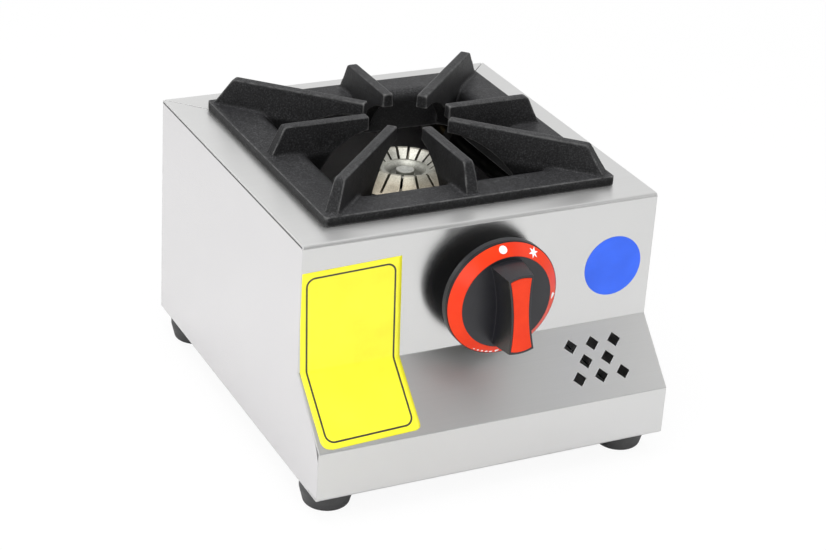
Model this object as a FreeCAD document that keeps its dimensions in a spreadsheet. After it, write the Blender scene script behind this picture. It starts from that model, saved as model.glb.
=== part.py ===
import FreeCAD, Part
import math
import os

import Sketcher

# Single burner countertop gas stove: a folded sheet steel casing on rubber feet, a cast pan support,
# a slotted burner and a push and turn gas valve with its knob.
# Lengths are millimetres, X is to the right, Y to the back, Z up. The feet stand on Z = 0.
# Pieces are drawn with Y = 0 at the front face, then moved so that the origin is the footprint's middle.

Vector = FreeCAD.Vector
Rotation = FreeCAD.Rotation

doc = FreeCAD.newDocument("SingleBurnerStove")
sheet = doc.addObject("Spreadsheet::Sheet", "Sizes")
nodes = []

# Smallest volume in cubic millimetres that counts as cut away, and how near two points must be to be one
least_cut = 0.5
same_place = 0.01

full_turn = 360
right_angle = 90

# Vent holes in each row of the slope, in steps from the middle column
vent_rows = ((-1, 0, 1), (-0.5, 0.5), (-1, 0, 1))


class Size:
    """A number worked out from the sheet's cells: its present value and its expression."""

    def __init__(self, value, text):
        self.value = value
        self.text = text

    def __add__(self, other):
        other = as_size(other)
        return Size(self.value + other.value, f"({self.text} + {other.text})")

    def __sub__(self, other):
        other = as_size(other)
        return Size(self.value - other.value, f"({self.text} - {other.text})")

    def __rsub__(self, other):
        return as_size(other) - self

    def __mul__(self, other):
        other = as_size(other)
        return Size(self.value * other.value, f"({self.text} * {other.text})")

    def __truediv__(self, other):
        other = as_size(other)
        return Size(self.value / other.value, f"({self.text} / {other.text})")

    def __neg__(self):
        return Size(-self.value, f"(-1 * {self.text})")

    __radd__ = __add__
    __rmul__ = __mul__


def as_size(number):
    """A plain number as a Size; a Size stays what it is."""
    if isinstance(number, Size):
        return number
    return Size(float(number), repr(float(number)))


def tan(angle):
    return Size(math.tan(math.radians(angle.value)), f"tan({angle.text})")


def atan(ratio):
    return Size(math.degrees(math.atan(ratio.value)), f"atan({ratio.text})")


def cos(angle):
    return Size(math.cos(math.radians(angle.value)), f"cos({angle.text})")


def sin(angle):
    return Size(math.sin(math.radians(angle.value)), f"sin({angle.text})")


def sqrt(number):
    return Size(math.sqrt(number.value), f"sqrt({number.text})")


def size(name, value):
    """Writes one driving dimension into the sheet and gives it back as a Size."""
    size.row += 1
    sheet.set(f"A{size.row}", name.replace("_", " "))
    sheet.set(f"B{size.row}", str(value))
    sheet.setAlias(f"B{size.row}", name)
    return Size(float(value), f"Sizes.{name}")


size.row = 0

# Casing
body_wide = size("body_wide", 220)
body_deep = size("body_deep", 218)
body_tall = size("body_tall", 140.5)
sheet_thick = size("sheet_thick", 1)
bend_radius = size("bend_radius", 1.2)
seam_gap = size("seam_gap", 0.4)
face_tall = size("face_tall", 76.5)
slope_out = size("slope_out", 32)
slope_drop = size("slope_drop", 33.5)
return_flange = size("return_flange", 12)
bottom_flange = size("bottom_flange", 34)
side_trim = size("side_trim", 5)
top_opening = size("top_opening", 148)
mitre_gap = size("mitre_gap", 1.6)
vent_diagonal = size("vent_diagonal", 8.8)
vent_column_step = size("vent_column_step", 14.4)
vent_row_step = size("vent_row_step", 9.8)
vent_first_row = size("vent_first_row", 12.5)
vent_inset = size("vent_inset", 39)

# Feet
foot_tall = size("foot_tall", 14)
foot_wide = size("foot_wide", 31)
foot_base_wide = size("foot_base_wide", 26)
foot_band = size("foot_band", 4.2)
foot_round = size("foot_round", 2.5)
foot_side_inset = size("foot_side_inset", 15.5)
foot_front_inset = size("foot_front_inset", 22)
foot_rear_inset = size("foot_rear_inset", 21.5)
foot_bolt = size("foot_bolt", 6)
foot_bolt_head = size("foot_bolt_head", 12)
foot_bolt_head_tall = size("foot_bolt_head_tall", 3.5)
foot_bolt_recess = size("foot_bolt_recess", 6)
foot_bolt_spare = size("foot_bolt_spare", 1.5)
foot_nut_wide = size("foot_nut_wide", 10)
foot_nut_tall = size("foot_nut_tall", 5)
hole_play = size("hole_play", 0.2)

# Pan support
pan_wide = size("pan_wide", 181)
pan_deep = size("pan_deep", 178.5)
pan_side = size("pan_side", 0.9)
pan_centre = size("pan_centre", 107)
pan_corner = size("pan_corner", 2)
pan_seat = size("pan_seat", 0.2)
lip_tall = size("lip_tall", 5.8)
lip_wall = size("lip_wall", 4)
strip_thick = size("strip_thick", 3.4)
well_top_wide = size("well_top_wide", 133)
well_low_wide = size("well_low_wide", 108)
well_drop = size("well_drop", 19.5)
well_corner = size("well_corner", 12)
well_wall = size("well_wall", 4)
well_round = size("well_round", 11)
fin_rise = size("fin_rise", 17.2)
fin_tip = size("fin_tip", 26)
fin_top_thick = size("fin_top_thick", 6.2)
fin_foot_thick = size("fin_foot_thick", 8.2)
fin_round = size("fin_round", 1)
fin_end_round = size("fin_end_round", 3.5)
side_fin_reach = size("side_fin_reach", 79)
side_fin_slant = size("side_fin_slant", 9)
side_arch_radius = size("side_arch_radius", 40.7)
side_arch_centre = size("side_arch_centre", 19.6)
corner_fin_reach = size("corner_fin_reach", 110)
corner_fin_slant = size("corner_fin_slant", 13)
corner_arch_radius = size("corner_arch_radius", 50.7)
corner_arch_centre = size("corner_arch_centre", 28.6)
tip_tall = size("tip_tall", 8.4)

# Burner
burner_side = size("burner_side", 1.8)
burner_centre = size("burner_centre", 107)
cap_drop = size("cap_drop", 19)
cap_wide = size("cap_wide", 70)
cap_tall = size("cap_tall", 9)
cap_rim_wide = size("cap_rim_wide", 45)
cap_rim_flat = size("cap_rim_flat", 2)
cap_bowl_wide = size("cap_bowl_wide", 29)
cap_bowl_deep = size("cap_bowl_deep", 4.5)
cap_dish_wide = size("cap_dish_wide", 25)
cap_dish_floor = size("cap_dish_floor", 18)
cap_dish_deep = size("cap_dish_deep", 3.5)
cap_boss_wide = size("cap_boss_wide", 11)
cap_boss_tall = size("cap_boss_tall", 3)
cap_wall = size("cap_wall", 2)
cap_spigot_wide = size("cap_spigot_wide", 51.8)
cap_spigot_wall = size("cap_spigot_wall", 2.4)
cap_spigot_tall = size("cap_spigot_tall", 4)
cap_seat = size("cap_seat", 0.2)
cap_slots = size("cap_slots", 18)
cap_slot_wide = size("cap_slot_wide", 1.5)
cap_slot_floor = size("cap_slot_floor", 1.2)
cap_first_slot = size("cap_first_slot", 19.5)
cup_wide = size("cup_wide", 54)
cup_wall = size("cup_wall", 3.5)
cup_below_axis = size("cup_below_axis", 17)
cup_flange_tall = size("cup_flange_tall", 5)
tube_wide = size("tube_wide", 24)
tube_bore = size("tube_bore", 17)
tube_collar_wide = size("tube_collar_wide", 28)
tube_mouth = size("tube_mouth", 47)
shutter_long = size("shutter_long", 16)
shutter_wall = size("shutter_wall", 1.5)
shutter_start = size("shutter_start", 51)
window_long = size("window_long", 9)
window_wide = size("window_wide", 10)
running_fit = size("running_fit", 0.05)
bridge_wide = size("bridge_wide", 30)
bridge_thick = size("bridge_thick", 2)
bridge_tab = size("bridge_tab", 16)
burner_bolt = size("burner_bolt", 5)
burner_bolt_head = size("burner_bolt_head", 8.5)
burner_bolt_head_tall = size("burner_bolt_head_tall", 3)
burner_bolt_deep = size("burner_bolt_deep", 2.5)
burner_bolt_step = size("burner_bolt_step", 30)

# Valve and gas way
knob_side = size("knob_side", 4)
knob_drop = size("knob_drop", 41.2)
neck_wide = size("neck_wide", 14)
neck_long = size("neck_long", 4.5)
lock_nut_wide = size("lock_nut_wide", 22)
lock_nut_tall = size("lock_nut_tall", 3.6)
valve_wide = size("valve_wide", 30)
bonnet_thick = size("bonnet_thick", 4)
bonnet_bolt = size("bonnet_bolt", 3)
bonnet_bolt_deep = size("bonnet_bolt_deep", 8)
bonnet_bolt_circle = size("bonnet_bolt_circle", 23)
barrel_long = size("barrel_long", 31)
plug_front_wide = size("plug_front_wide", 17)
plug_rear_wide = size("plug_rear_wide", 14)
plug_long = size("plug_long", 26)
plug_port = size("plug_port", 5)
plug_bore = size("plug_bore", 6)
plug_bore_deep = size("plug_bore_deep", 13)
spindle_wide = size("spindle_wide", 8)
spindle_flat = size("spindle_flat", 1.4)
spindle_flat_long = size("spindle_flat_long", 10)
push_travel = size("push_travel", 3)
push_spare = size("push_spare", 1)
outlet_wide = size("outlet_wide", 14)
outlet_long = size("outlet_long", 6)
injector_wide = size("injector_wide", 10)
injector_long = size("injector_long", 7)
injector_thread = size("injector_thread", 7)
injector_thread_long = size("injector_thread_long", 5)
injector_tip_wide = size("injector_tip_wide", 6)
injector_tip_long = size("injector_tip_long", 3)
injector_jet = size("injector_jet", 1.2)
inlet_setback = size("inlet_setback", 14.3)
inlet_boss_wide = size("inlet_boss_wide", 16)
inlet_boss_reach = size("inlet_boss_reach", 24)
inlet_bore = size("inlet_bore", 8)
pipe_wide = size("pipe_wide", 12)
pipe_bore = size("pipe_bore", 9)
pipe_bend = size("pipe_bend", 20)
pipe_inset = size("pipe_inset", 27)
union_nut_wide = size("union_nut_wide", 19)
union_nut_long = size("union_nut_long", 9)
nipple_wide = size("nipple_wide", 16)
nipple_inside = size("nipple_inside", 20)
nipple_hex_wide = size("nipple_hex_wide", 22)
nipple_hex_long = size("nipple_hex_long", 7)
nipple_tail_wide = size("nipple_tail_wide", 12.6)
nipple_barb_rise = size("nipple_barb_rise", 0.9)
nipple_barb_long = size("nipple_barb_long", 6)
nipple_barbs = size("nipple_barbs", 3)
nipple_nut_wide = size("nipple_nut_wide", 24)
nipple_nut_tall = size("nipple_nut_tall", 5)

# Knob
knob_wide = size("knob_wide", 68.6)
knob_clear = size("knob_clear", 11)
knob_rim_tall = size("knob_rim_tall", 5)
knob_rim_wall = size("knob_rim_wall", 2.5)
knob_disc_wide = size("knob_disc_wide", 55)
knob_disc_rise = size("knob_disc_rise", 5.7)
knob_web = size("knob_web", 3)
ring_thick = size("ring_thick", 1.4)
hub_wide = size("hub_wide", 18)
hub_back = size("hub_back", 8)
grip_rise = size("grip_rise", 17.2)
grip_foot_long = size("grip_foot_long", 50.5)
grip_foot_wide = size("grip_foot_wide", 19)
grip_foot_waist = size("grip_foot_waist", 12.5)
grip_top_long = size("grip_top_long", 48)
grip_top_wide = size("grip_top_wide", 15.4)
grip_top_waist = size("grip_top_waist", 11.8)
grip_end_bow = size("grip_end_bow", 1.2)
insert_border = size("insert_border", 1.3)
insert_deep = size("insert_deep", 1.6)
insert_proud = size("insert_proud", 0.2)
knob_lean = size("knob_lean", 5)

# Places that several pieces share
half = body_wide / 2
top = foot_tall + body_tall
face_low = top - face_tall
toe = -slope_out
toe_high = face_low - slope_drop
slope_angle = atan(slope_out / slope_drop)
fold = tan(slope_angle / 2)
inside = sheet_thick + seam_gap
vent_centre = half - vent_inset
pipe_side = half - pipe_inset
valve_high = top - knob_drop
opening_half = top_opening / 2
opening_front = pan_centre - opening_half
opening_rear = pan_centre + opening_half
disc_front = knob_clear + knob_rim_tall + knob_disc_rise
knob_front = disc_front + grip_rise + insert_proud
bonnet_end = sheet_thick + bonnet_thick
barrel_end = bonnet_end + barrel_long
outlet_end = barrel_end + outlet_long
plug_start = bonnet_end + seam_gap
plug_end = bonnet_end + plug_long
cavity_end = plug_end + seam_gap
inlet_depth = bonnet_end + inlet_setback
hex_end = body_deep + nipple_hex_long
tail_end = hex_end + nipple_barb_long * nipple_barbs
pipe_start = knob_side + inlet_boss_reach
pipe_end = body_deep - nipple_inside
middle = (tail_end - knob_front) / 2
strip_high = top + pan_seat + lip_tall
fin_high = strip_high + fin_rise
well_low = strip_high - well_drop
cap_base = top - cap_drop
cup_low = valve_high - cup_below_axis
foot_places = {
    "front_left": (foot_side_inset - half, toe + foot_front_inset),
    "front_right": (half - foot_side_inset, toe + foot_front_inset),
    "rear_left": (foot_side_inset - half, body_deep - foot_rear_inset),
    "rear_right": (half - foot_side_inset, body_deep - foot_rear_inset),
}


def bind(thing, name, number):
    """Ties one property of a thing to the sheet."""
    thing.setExpression(name, as_size(number).text)


def place(thing, x=0, y=0, z=0):
    bind(thing, "Placement.Base.x", x)
    bind(thing, "Placement.Base.y", y)
    bind(thing, "Placement.Base.z", z)


def node(thing, label, x=0, y=0, z=0):
    """Names a finished sub-part and moves it from the front face to the footprint's middle."""
    thing.Label = label
    place(thing, x, y - middle, z)
    nodes.append(thing)
    return thing


def new_body(name):
    return doc.addObject("PartDesign::Body", name)


def new_sketch(body, role, offset=0):
    """A sketch on one of the body's own planes, moved along that plane's normal."""
    drawing = body.newObject("Sketcher::SketchObject", body.Name + "_sketch")
    plane = [feature for feature in body.Origin.OriginFeatures if feature.Role == role][0]
    drawing.AttachmentSupport = [(plane, "")]
    drawing.MapMode = "FlatFace"
    bind(drawing, "AttachmentOffset.Base.z", offset)
    return drawing


def fix(drawing, kind, axis, edge, end, number):
    """Holds one coordinate of a point to the sheet."""
    number = as_size(number)
    if number.text == "0.0":
        drawing.addConstraint(Sketcher.Constraint("PointOnObject", edge, end, axis))
        return
    index = drawing.addConstraint(Sketcher.Constraint(kind, -1, 1, edge, end, number.value))
    drawing.setExpression(f"Constraints[{index}]", number.text)


def fix_point(drawing, edge, end, x, y):
    fix(drawing, "DistanceX", -2, edge, end, x)
    fix(drawing, "DistanceY", -1, edge, end, y)


def arc_between(start, finish, radius, left):
    """The short arc from start to finish with its centre to the left or the right of the way."""
    chord = finish - start
    normal = Vector(-chord.y, chord.x, 0) / chord.Length
    rise = math.sqrt(radius ** 2 - (chord.Length / 2) ** 2)
    centre = (start + finish) / 2 + normal * (rise if left else -rise)
    ends = (start, finish) if left else (finish, start)
    angles = [math.atan2(end.y - centre.y, end.x - centre.x) for end in ends]
    if angles[1] <= angles[0]:
        angles[1] += 2 * math.pi
    return Part.ArcOfCircle(Part.Circle(centre, Vector(0, 0, 1), radius), angles[0], angles[1])


def outline(drawing, points):
    """Draws a closed loop. A point (x, y, radius, left) starts an arc, a point (x, y) a straight edge."""
    first = drawing.GeometryCount
    count = len(points)
    places = [Vector(as_size(point[0]).value, as_size(point[1]).value, 0) for point in points]
    starts = []
    for index, point in enumerate(points):
        following = places[(index + 1) % count]
        if len(point) == 2:
            drawing.addGeometry(Part.LineSegment(places[index], following))
            starts.append(1)
        else:
            drawing.addGeometry(arc_between(places[index], following, as_size(point[2]).value, point[3]))
            starts.append(1 if point[3] else 2)
    for index, point in enumerate(points):
        after = (index + 1) % count
        join = Sketcher.Constraint(
            "Coincident", first + index, 3 - starts[index], first + after, starts[after]
        )
        drawing.addConstraint(join)
    for index, point in enumerate(points):
        fix_point(drawing, first + index, starts[index], point[0], point[1])
        if len(point) > 2:
            radius = as_size(point[2])
            held = drawing.addConstraint(Sketcher.Constraint("Radius", first + index, radius.value))
            drawing.setExpression(f"Constraints[{held}]", radius.text)
    return drawing


def circle(drawing, x, y, diameter):
    x, y, diameter = as_size(x), as_size(y), as_size(diameter)
    centre = Vector(x.value, y.value, 0)
    edge = drawing.addGeometry(Part.Circle(centre, Vector(0, 0, 1), diameter.value / 2))
    fix_point(drawing, edge, 3, x, y)
    held = drawing.addConstraint(Sketcher.Constraint("Diameter", edge, diameter.value))
    drawing.setExpression(f"Constraints[{held}]", diameter.text)
    return drawing


def rectangle(x_from, x_to, y_from, y_to):
    return [(x_from, y_from), (x_to, y_from), (x_to, y_to), (x_from, y_to)]


def rounded_rectangle(half_wide, half_deep, radius):
    """A rectangle about the middle with round corners, counter-clockwise."""
    along = half_wide - radius
    up = half_deep - radius
    return [
        (-along, -half_deep), (along, -half_deep, radius, True),
        (half_wide, -up), (half_wide, up, radius, True),
        (along, half_deep), (-along, half_deep, radius, True),
        (-half_wide, up), (-half_wide, -up, radius, True),
    ]


def pad(body, drawing, length, backward=False):
    feature = body.newObject("PartDesign::Pad", body.Name + "_pad")
    feature.Profile = drawing
    feature.Reversed = backward
    bind(feature, "Length", length)
    return feature


def pocket(body, drawing, depth, backward=False):
    """Cuts a drawing out of the body and makes sure that something was cut."""
    before = body.Tip
    doc.recompute()
    full = before.Shape.Volume
    feature = body.newObject("PartDesign::Pocket", body.Name + "_pocket")
    feature.Profile = drawing
    feature.Reversed = backward
    bind(feature, "Length", depth)
    doc.recompute()
    if feature.Shape.Volume > full - least_cut:
        raise RuntimeError(f"{body.Name}: a pocket cut nothing")
    return feature


def turn(body, drawing, axis="V_Axis"):
    feature = body.newObject("PartDesign::Revolution", body.Name + "_turn")
    feature.Profile = drawing
    feature.ReferenceAxis = (drawing, [axis])
    feature.Angle = full_turn
    return feature


def loft(body, kind, lower, upper):
    feature = body.newObject("PartDesign::" + kind, body.Name + "_loft")
    feature.Profile = lower
    feature.Sections = [upper]
    feature.Ruled = True
    return feature


def turned(name, points):
    """A body turned about the Z axis from radius and height points."""
    body = new_body(name)
    turn(body, outline(new_sketch(body, "XZ_Plane"), points))
    return body


def turned_along_y(name, points):
    """A body turned about the Y axis from radius and depth points."""
    body = new_body(name)
    turn(body, outline(new_sketch(body, "XY_Plane"), points))
    return body


def edges_where(feature, test):
    """Names of the feature's edges whose two ends and middle pass the test."""
    doc.recompute()
    found = []
    for index, edge in enumerate(feature.Shape.Edges, 1):
        ends = [vertex.Point for vertex in edge.Vertexes]
        if test(edge, ends):
            found.append(f"Edge{index}")
    return found


def fillet(body, radius, test):
    base = body.Tip
    names = edges_where(base, test)
    feature = body.newObject("PartDesign::Fillet", body.Name + "_fillet")
    feature.Base = (base, names)
    bind(feature, "Radius", radius)
    return feature


def cylinder_along(axis, name, diameter, length, x=0, y=0, z=0):
    """A round bar whose start is at the given point and whose axis runs along X, Y or Z."""
    bar = doc.addObject("Part::Cylinder", name)
    bind(bar, "Radius", as_size(diameter) / 2)
    bind(bar, "Height", length)
    turns = {
        "X": Rotation(Vector(0, 1, 0), right_angle),
        "Y": Rotation(Vector(1, 0, 0), -right_angle),
        "Z": Rotation(),
    }
    bar.Placement = FreeCAD.Placement(Vector(), turns[axis])
    place(bar, x, y, z)
    return bar


def box(name, x_from, x_to, y_from, y_to, z_from, z_to):
    block = doc.addObject("Part::Box", name)
    bind(block, "Length", as_size(x_to) - x_from)
    bind(block, "Width", as_size(y_to) - y_from)
    bind(block, "Height", as_size(z_to) - z_from)
    place(block, x_from, y_from, z_from)
    return block


def fuse(name, shapes):
    joined = doc.addObject("Part::MultiFuse", name)
    joined.Shapes = shapes
    joined.Refine = True
    return joined


def cut(name, base, tools):
    """Takes the tools away from the base and makes sure that something was cut."""
    doc.recompute()
    tool = tools[0] if len(tools) == 1 else fuse(name + "_tools", tools)
    left = doc.addObject("Part::Cut", name)
    left.Base = base
    left.Tool = tool
    left.Refine = True
    doc.recompute()
    if left.Shape.Volume > base.Shape.Volume - least_cut:
        raise RuntimeError(f"{name}: a cut took nothing away")
    return left


def compound(name, shapes):
    group = doc.addObject("Part::Compound", name)
    group.Links = shapes
    return group


def hexagon(across):
    """The six corners of a hexagon of the given width across its flats."""
    corner = across / sqrt(as_size(3))
    flat = across / 2
    return [
        (corner, 0), (corner / 2, flat), (-corner / 2, flat),
        (-corner, 0), (-corner / 2, -flat), (corner / 2, -flat),
    ]


def hex_prism(name, across, bore, y_from, y_to):
    """A hexagonal nut or collar about the Y axis with a round bore."""
    body = new_body(name)
    drawing = outline(new_sketch(body, "XZ_Plane", -as_size(y_to)), hexagon(across))
    circle(drawing, 0, 0, bore)
    pad(body, drawing, as_size(y_to) - y_from)
    return body


def round_front_bends(body):
    """Rounds the folds of the front sheet, the inside of each bend first."""
    toe_fold = toe_high - sheet_thick * fold
    face_fold = face_low - sheet_thick * fold
    inner_bends = [
        (sheet_thick, top - sheet_thick), (0, face_low), (toe + sheet_thick, toe_fold),
        (toe + sheet_thick, foot_tall + sheet_thick),
    ]
    outer_bends = [(0, top), (sheet_thick, face_fold), (toe, toe_high), (toe, foot_tall)]
    for radius, bends in ((bend_radius, inner_bends), (bend_radius + sheet_thick, outer_bends)):
        spots = [Vector(0, as_size(y).value, as_size(z).value) for y, z in bends]

        def on_bend(edge, ends, spots=spots):
            flat_ends = [Vector(0, end.y, end.z) for end in ends]
            near = [spot for spot in spots if all(spot.isEqual(end, same_place) for end in flat_ends)]
            return bool(near) and edge.Length > body_wide.value / 2

        fillet(body, radius, on_bend)


def cut_vents(body):
    """Cuts the square vents, set on their corners, through the slope."""
    vents = new_sketch(body, "XZ_Plane")
    vents.AttachmentOffset = FreeCAD.Placement(Vector(), Rotation(Vector(1, 0, 0), -slope_angle.value))
    bind(vents, "AttachmentOffset.Rotation.Angle", -slope_angle)
    bind(vents, "AttachmentOffset.Base.y", face_low)
    reach = vent_diagonal / 2
    for row, columns in enumerate(vent_rows):
        y = -(vent_first_row + vent_row_step * row)
        for column in columns:
            x = vent_centre + vent_column_step * column
            outline(vents, [(x - reach, y), (x, y - reach), (x + reach, y), (x, y + reach)])
    pocket(body, vents, sheet_thick * 2)


def make_front_panel():
    """One folded sheet: top with a strip down each side of its opening, face, slope, apron and return."""
    body = new_body("front_panel_body")
    profile = [
        (opening_front, top), (0, top), (0, face_low), (toe, toe_high), (toe, foot_tall),
        (toe + return_flange, foot_tall), (toe + return_flange, foot_tall + sheet_thick),
        (toe + sheet_thick, foot_tall + sheet_thick), (toe + sheet_thick, toe_high - sheet_thick * fold),
        (sheet_thick, face_low - sheet_thick * fold), (sheet_thick, top - sheet_thick),
        (opening_front, top - sheet_thick),
    ]
    pad(body, outline(new_sketch(body, "YZ_Plane", -half), profile), body_wide)
    round_front_bends(body)
    strips = new_sketch(body, "XY_Plane", top - sheet_thick)
    for side in (-1, 1):
        outline(strips, [
            (half * side, opening_front - sheet_thick), (opening_half * side, opening_front - sheet_thick),
            (opening_half * side, opening_rear - mitre_gap), (half * side, body_deep),
        ])
    pad(body, strips, sheet_thick)
    neck_hole = circle(new_sketch(body, "XZ_Plane"), knob_side, valve_high, neck_wide + hole_play * 2)
    pocket(body, neck_hole, sheet_thick * 2)
    cut_vents(body)
    return node(body, "front_panel")


def make_side_panels():
    """The left side sheet with its top, bottom, front and rear returns, and its mirror image."""
    body = new_body("side_panel_body")
    lean = slope_out / slope_drop
    low_front = toe + return_flange + seam_gap
    shelf = foot_tall + inside
    high = top - inside
    edge = return_flange - half
    side = [
        (inside, high), (body_deep, high), (body_deep, foot_tall), (low_front, foot_tall), (low_front, shelf),
        (toe + inside, shelf), (toe + inside, toe_high - inside * fold - side_trim),
        (toe + inside + side_trim * lean, toe_high - inside * fold + side_trim),
        (inside, face_low - inside * fold),
    ]
    pad(body, outline(new_sketch(body, "YZ_Plane", -half), side), sheet_thick)
    top_return = rectangle(-half, edge, inside + bend_radius, body_deep - sheet_thick)
    pad(body, outline(new_sketch(body, "XY_Plane", high - sheet_thick), top_return), sheet_thick)
    shelf_plan = rectangle(-half, bottom_flange - half, low_front, body_deep - inside)
    pad(body, outline(new_sketch(body, "XY_Plane", foot_tall), shelf_plan), sheet_thick)
    face_return = rectangle(-half, edge, face_low, high - bend_radius)
    pad(body, outline(new_sketch(body, "XZ_Plane", -(sheet_thick * 2)), face_return), sheet_thick)
    apron_return = rectangle(-half, edge, shelf + bend_radius, toe_high - side_trim * 2)
    pad(body, outline(new_sketch(body, "XZ_Plane", -(toe + sheet_thick * 2)), apron_return), sheet_thick)
    rear_return = rectangle(-half, edge, foot_tall, high)
    pad(body, outline(new_sketch(body, "XZ_Plane", -(body_deep - sheet_thick)), rear_return), sheet_thick)
    holes = new_sketch(body, "XY_Plane", foot_tall + sheet_thick)
    for name in ("front_left", "rear_left"):
        circle(holes, foot_places[name][0], foot_places[name][1], foot_bolt + hole_play * 2)
    pocket(body, holes, sheet_thick)
    mirror = doc.addObject("Part::Mirroring", "side_panel_mirror")
    mirror.Source = body
    mirror.Normal = Vector(1, 0, 0)
    node(compound("side_panel_left", [body]), "left_side_panel")
    node(compound("side_panel_right", [mirror]), "right_side_panel")


def make_rear_panel():
    """The rear sheet with its mitred top flange, bottom return and gas inlet hole."""
    body = new_body("rear_panel_body")
    edge = half - inside
    bend = body_deep - sheet_thick
    wall = rectangle(-edge, edge, foot_tall, top)
    pad(body, outline(new_sketch(body, "XZ_Plane", -body_deep), wall), sheet_thick)
    flange = [
        (-opening_half, opening_rear), (opening_half, opening_rear),
        (edge, bend), (edge, body_deep), (-edge, body_deep), (-edge, bend),
    ]
    pad(body, outline(new_sketch(body, "XY_Plane", top - sheet_thick), flange), sheet_thick)
    shelf_half = half - bottom_flange - seam_gap
    shelf = rectangle(-shelf_half, shelf_half, body_deep - return_flange, body_deep)
    pad(body, outline(new_sketch(body, "XY_Plane", foot_tall), shelf), sheet_thick)
    inlet = circle(new_sketch(body, "XZ_Plane", -bend), pipe_side, valve_high, nipple_wide + hole_play * 2)
    pocket(body, inlet, sheet_thick * 2)
    return node(body, "rear_panel")


def make_base_plate():
    body = new_body("base_plate_body")
    edge = half - inside
    plan = rectangle(-edge, edge, toe + sheet_thick * 2 + seam_gap, body_deep - sheet_thick * 2 - seam_gap)
    drawing = outline(new_sketch(body, "XY_Plane", foot_tall + sheet_thick), plan)
    for x, y in foot_places.values():
        circle(drawing, x, y, foot_bolt + hole_play * 2)
    pad(body, drawing, sheet_thick)
    return node(body, "base_plate")


def make_feet():
    """Four tapered rubber feet, each with a recess for its bolt head."""
    bore = foot_bolt / 2 + hole_play
    recess = foot_bolt_head / 2 + hole_play * 2
    base = foot_base_wide / 2
    brim = foot_wide / 2
    band = foot_tall - foot_band
    points = [
        (bore, foot_bolt_recess), (recess, foot_bolt_recess), (recess, 0), (base, 0),
        (brim, band), (brim, foot_tall), (bore, foot_tall),
    ]
    rims = [Vector(base.value, 0, 0), Vector(brim.value, 0, band.value)]

    def on_rim(edge, ends):
        seam = Vector(abs(ends[0].x), 0, ends[0].z)
        return len(ends) == 1 and any(rim.isEqual(seam, same_place) for rim in rims)

    for name, (x, y) in foot_places.items():
        body = turned("foot_body_" + name, points)
        fillet(body, foot_round, on_rim)
        node(body, "foot_" + name, x, y)


def make_foot_fasteners():
    """The four bolts that come up through the feet, and their nuts on the base plate."""
    plate = foot_tall + sheet_thick * 2
    head = foot_bolt_recess - foot_bolt_head_tall
    bolt_end = plate + foot_nut_tall + foot_bolt_spare
    points = [
        (0, head), (foot_bolt_head / 2, head), (foot_bolt_head / 2, foot_bolt_recess),
        (foot_bolt / 2, foot_bolt_recess), (foot_bolt / 2, bolt_end), (0, bolt_end),
    ]
    bolts = []
    nuts = []
    for name, (x, y) in foot_places.items():
        bolt = turned("foot_bolt_" + name, points)
        place(bolt, x, y)
        bolts.append(bolt)
        nut = new_body("foot_nut_" + name)
        plan = outline(new_sketch(nut, "XY_Plane", plate), hexagon(foot_nut_wide))
        circle(plan, 0, 0, foot_bolt + hole_play)
        pad(nut, plan, foot_nut_tall)
        place(nut, x, y)
        nuts.append(nut)
    node(compound("foot_bolt_set", bolts), "foot_bolts")
    node(compound("foot_nut_set", nuts), "foot_nuts")


def well_wedge(body, kind, wall):
    """Adds or takes away the square funnel of the well, wider by the given wall on every side."""
    funnel = body.newObject("PartDesign::" + kind, body.Name + "_funnel")
    plane = [feature for feature in body.Origin.OriginFeatures if feature.Role == "XY_Plane"][0]
    funnel.AttachmentSupport = [(plane, "")]
    funnel.MapMode = "FlatFace"
    funnel.AttachmentOffset = FreeCAD.Placement(Vector(), Rotation(Vector(1, 0, 0), right_angle))
    bind(funnel, "AttachmentOffset.Base.z", well_low)
    low = well_low_wide / 2 + wall
    high = well_top_wide / 2 + wall
    for letter in "XZ":
        bind(funnel, letter + "min", -low)
        bind(funnel, letter + "max", low)
        bind(funnel, letter + "2min", -high)
        bind(funnel, letter + "2max", high)
    funnel.Ymin = 0
    bind(funnel, "Ymax", well_drop)
    return funnel


def make_tray():
    """The pan support's tray about its own middle: lip, flat strip and the square well."""
    tray = new_body("tray_body")
    plan = rounded_rectangle(pan_wide / 2, pan_deep / 2, pan_corner)
    pad(tray, outline(new_sketch(tray, "XY_Plane", top + pan_seat), plan), lip_tall)
    well_wedge(tray, "AdditiveWedge", well_wall)
    well_wedge(tray, "SubtractiveWedge", as_size(0))
    for wall in (as_size(0), well_wall):
        spot = well_low_wide.value / 2 + wall.value
        corner = Vector(spot, spot, well_low.value)

        def slanted_corner(edge, ends, corner=corner):
            foot = min(ends, key=lambda end: end.z)
            on_corner = corner.isEqual(Vector(abs(foot.x), abs(foot.y), foot.z), same_place)
            return on_corner and max(end.z for end in ends) > foot.z + same_place

        fillet(tray, well_corner + wall, slanted_corner)
    hollow = new_sketch(tray, "XY_Plane", top + pan_seat)
    outline(hollow, rounded_rectangle(pan_wide / 2 - lip_wall, pan_deep / 2 - lip_wall, pan_corner))
    well_edge = well_top_wide / 2 + well_wall
    outline(hollow, rounded_rectangle(well_edge, well_edge, well_corner + well_wall))
    pocket(tray, hollow, lip_tall - strip_thick, True)
    limit = (well_top_wide.value + pan_deep.value) / 4
    fillet(tray, well_round, lambda edge, ends: all(
        abs(end.z - strip_high.value) < same_place and max(abs(end.x), abs(end.y)) < limit for end in ends))
    return tray


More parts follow.
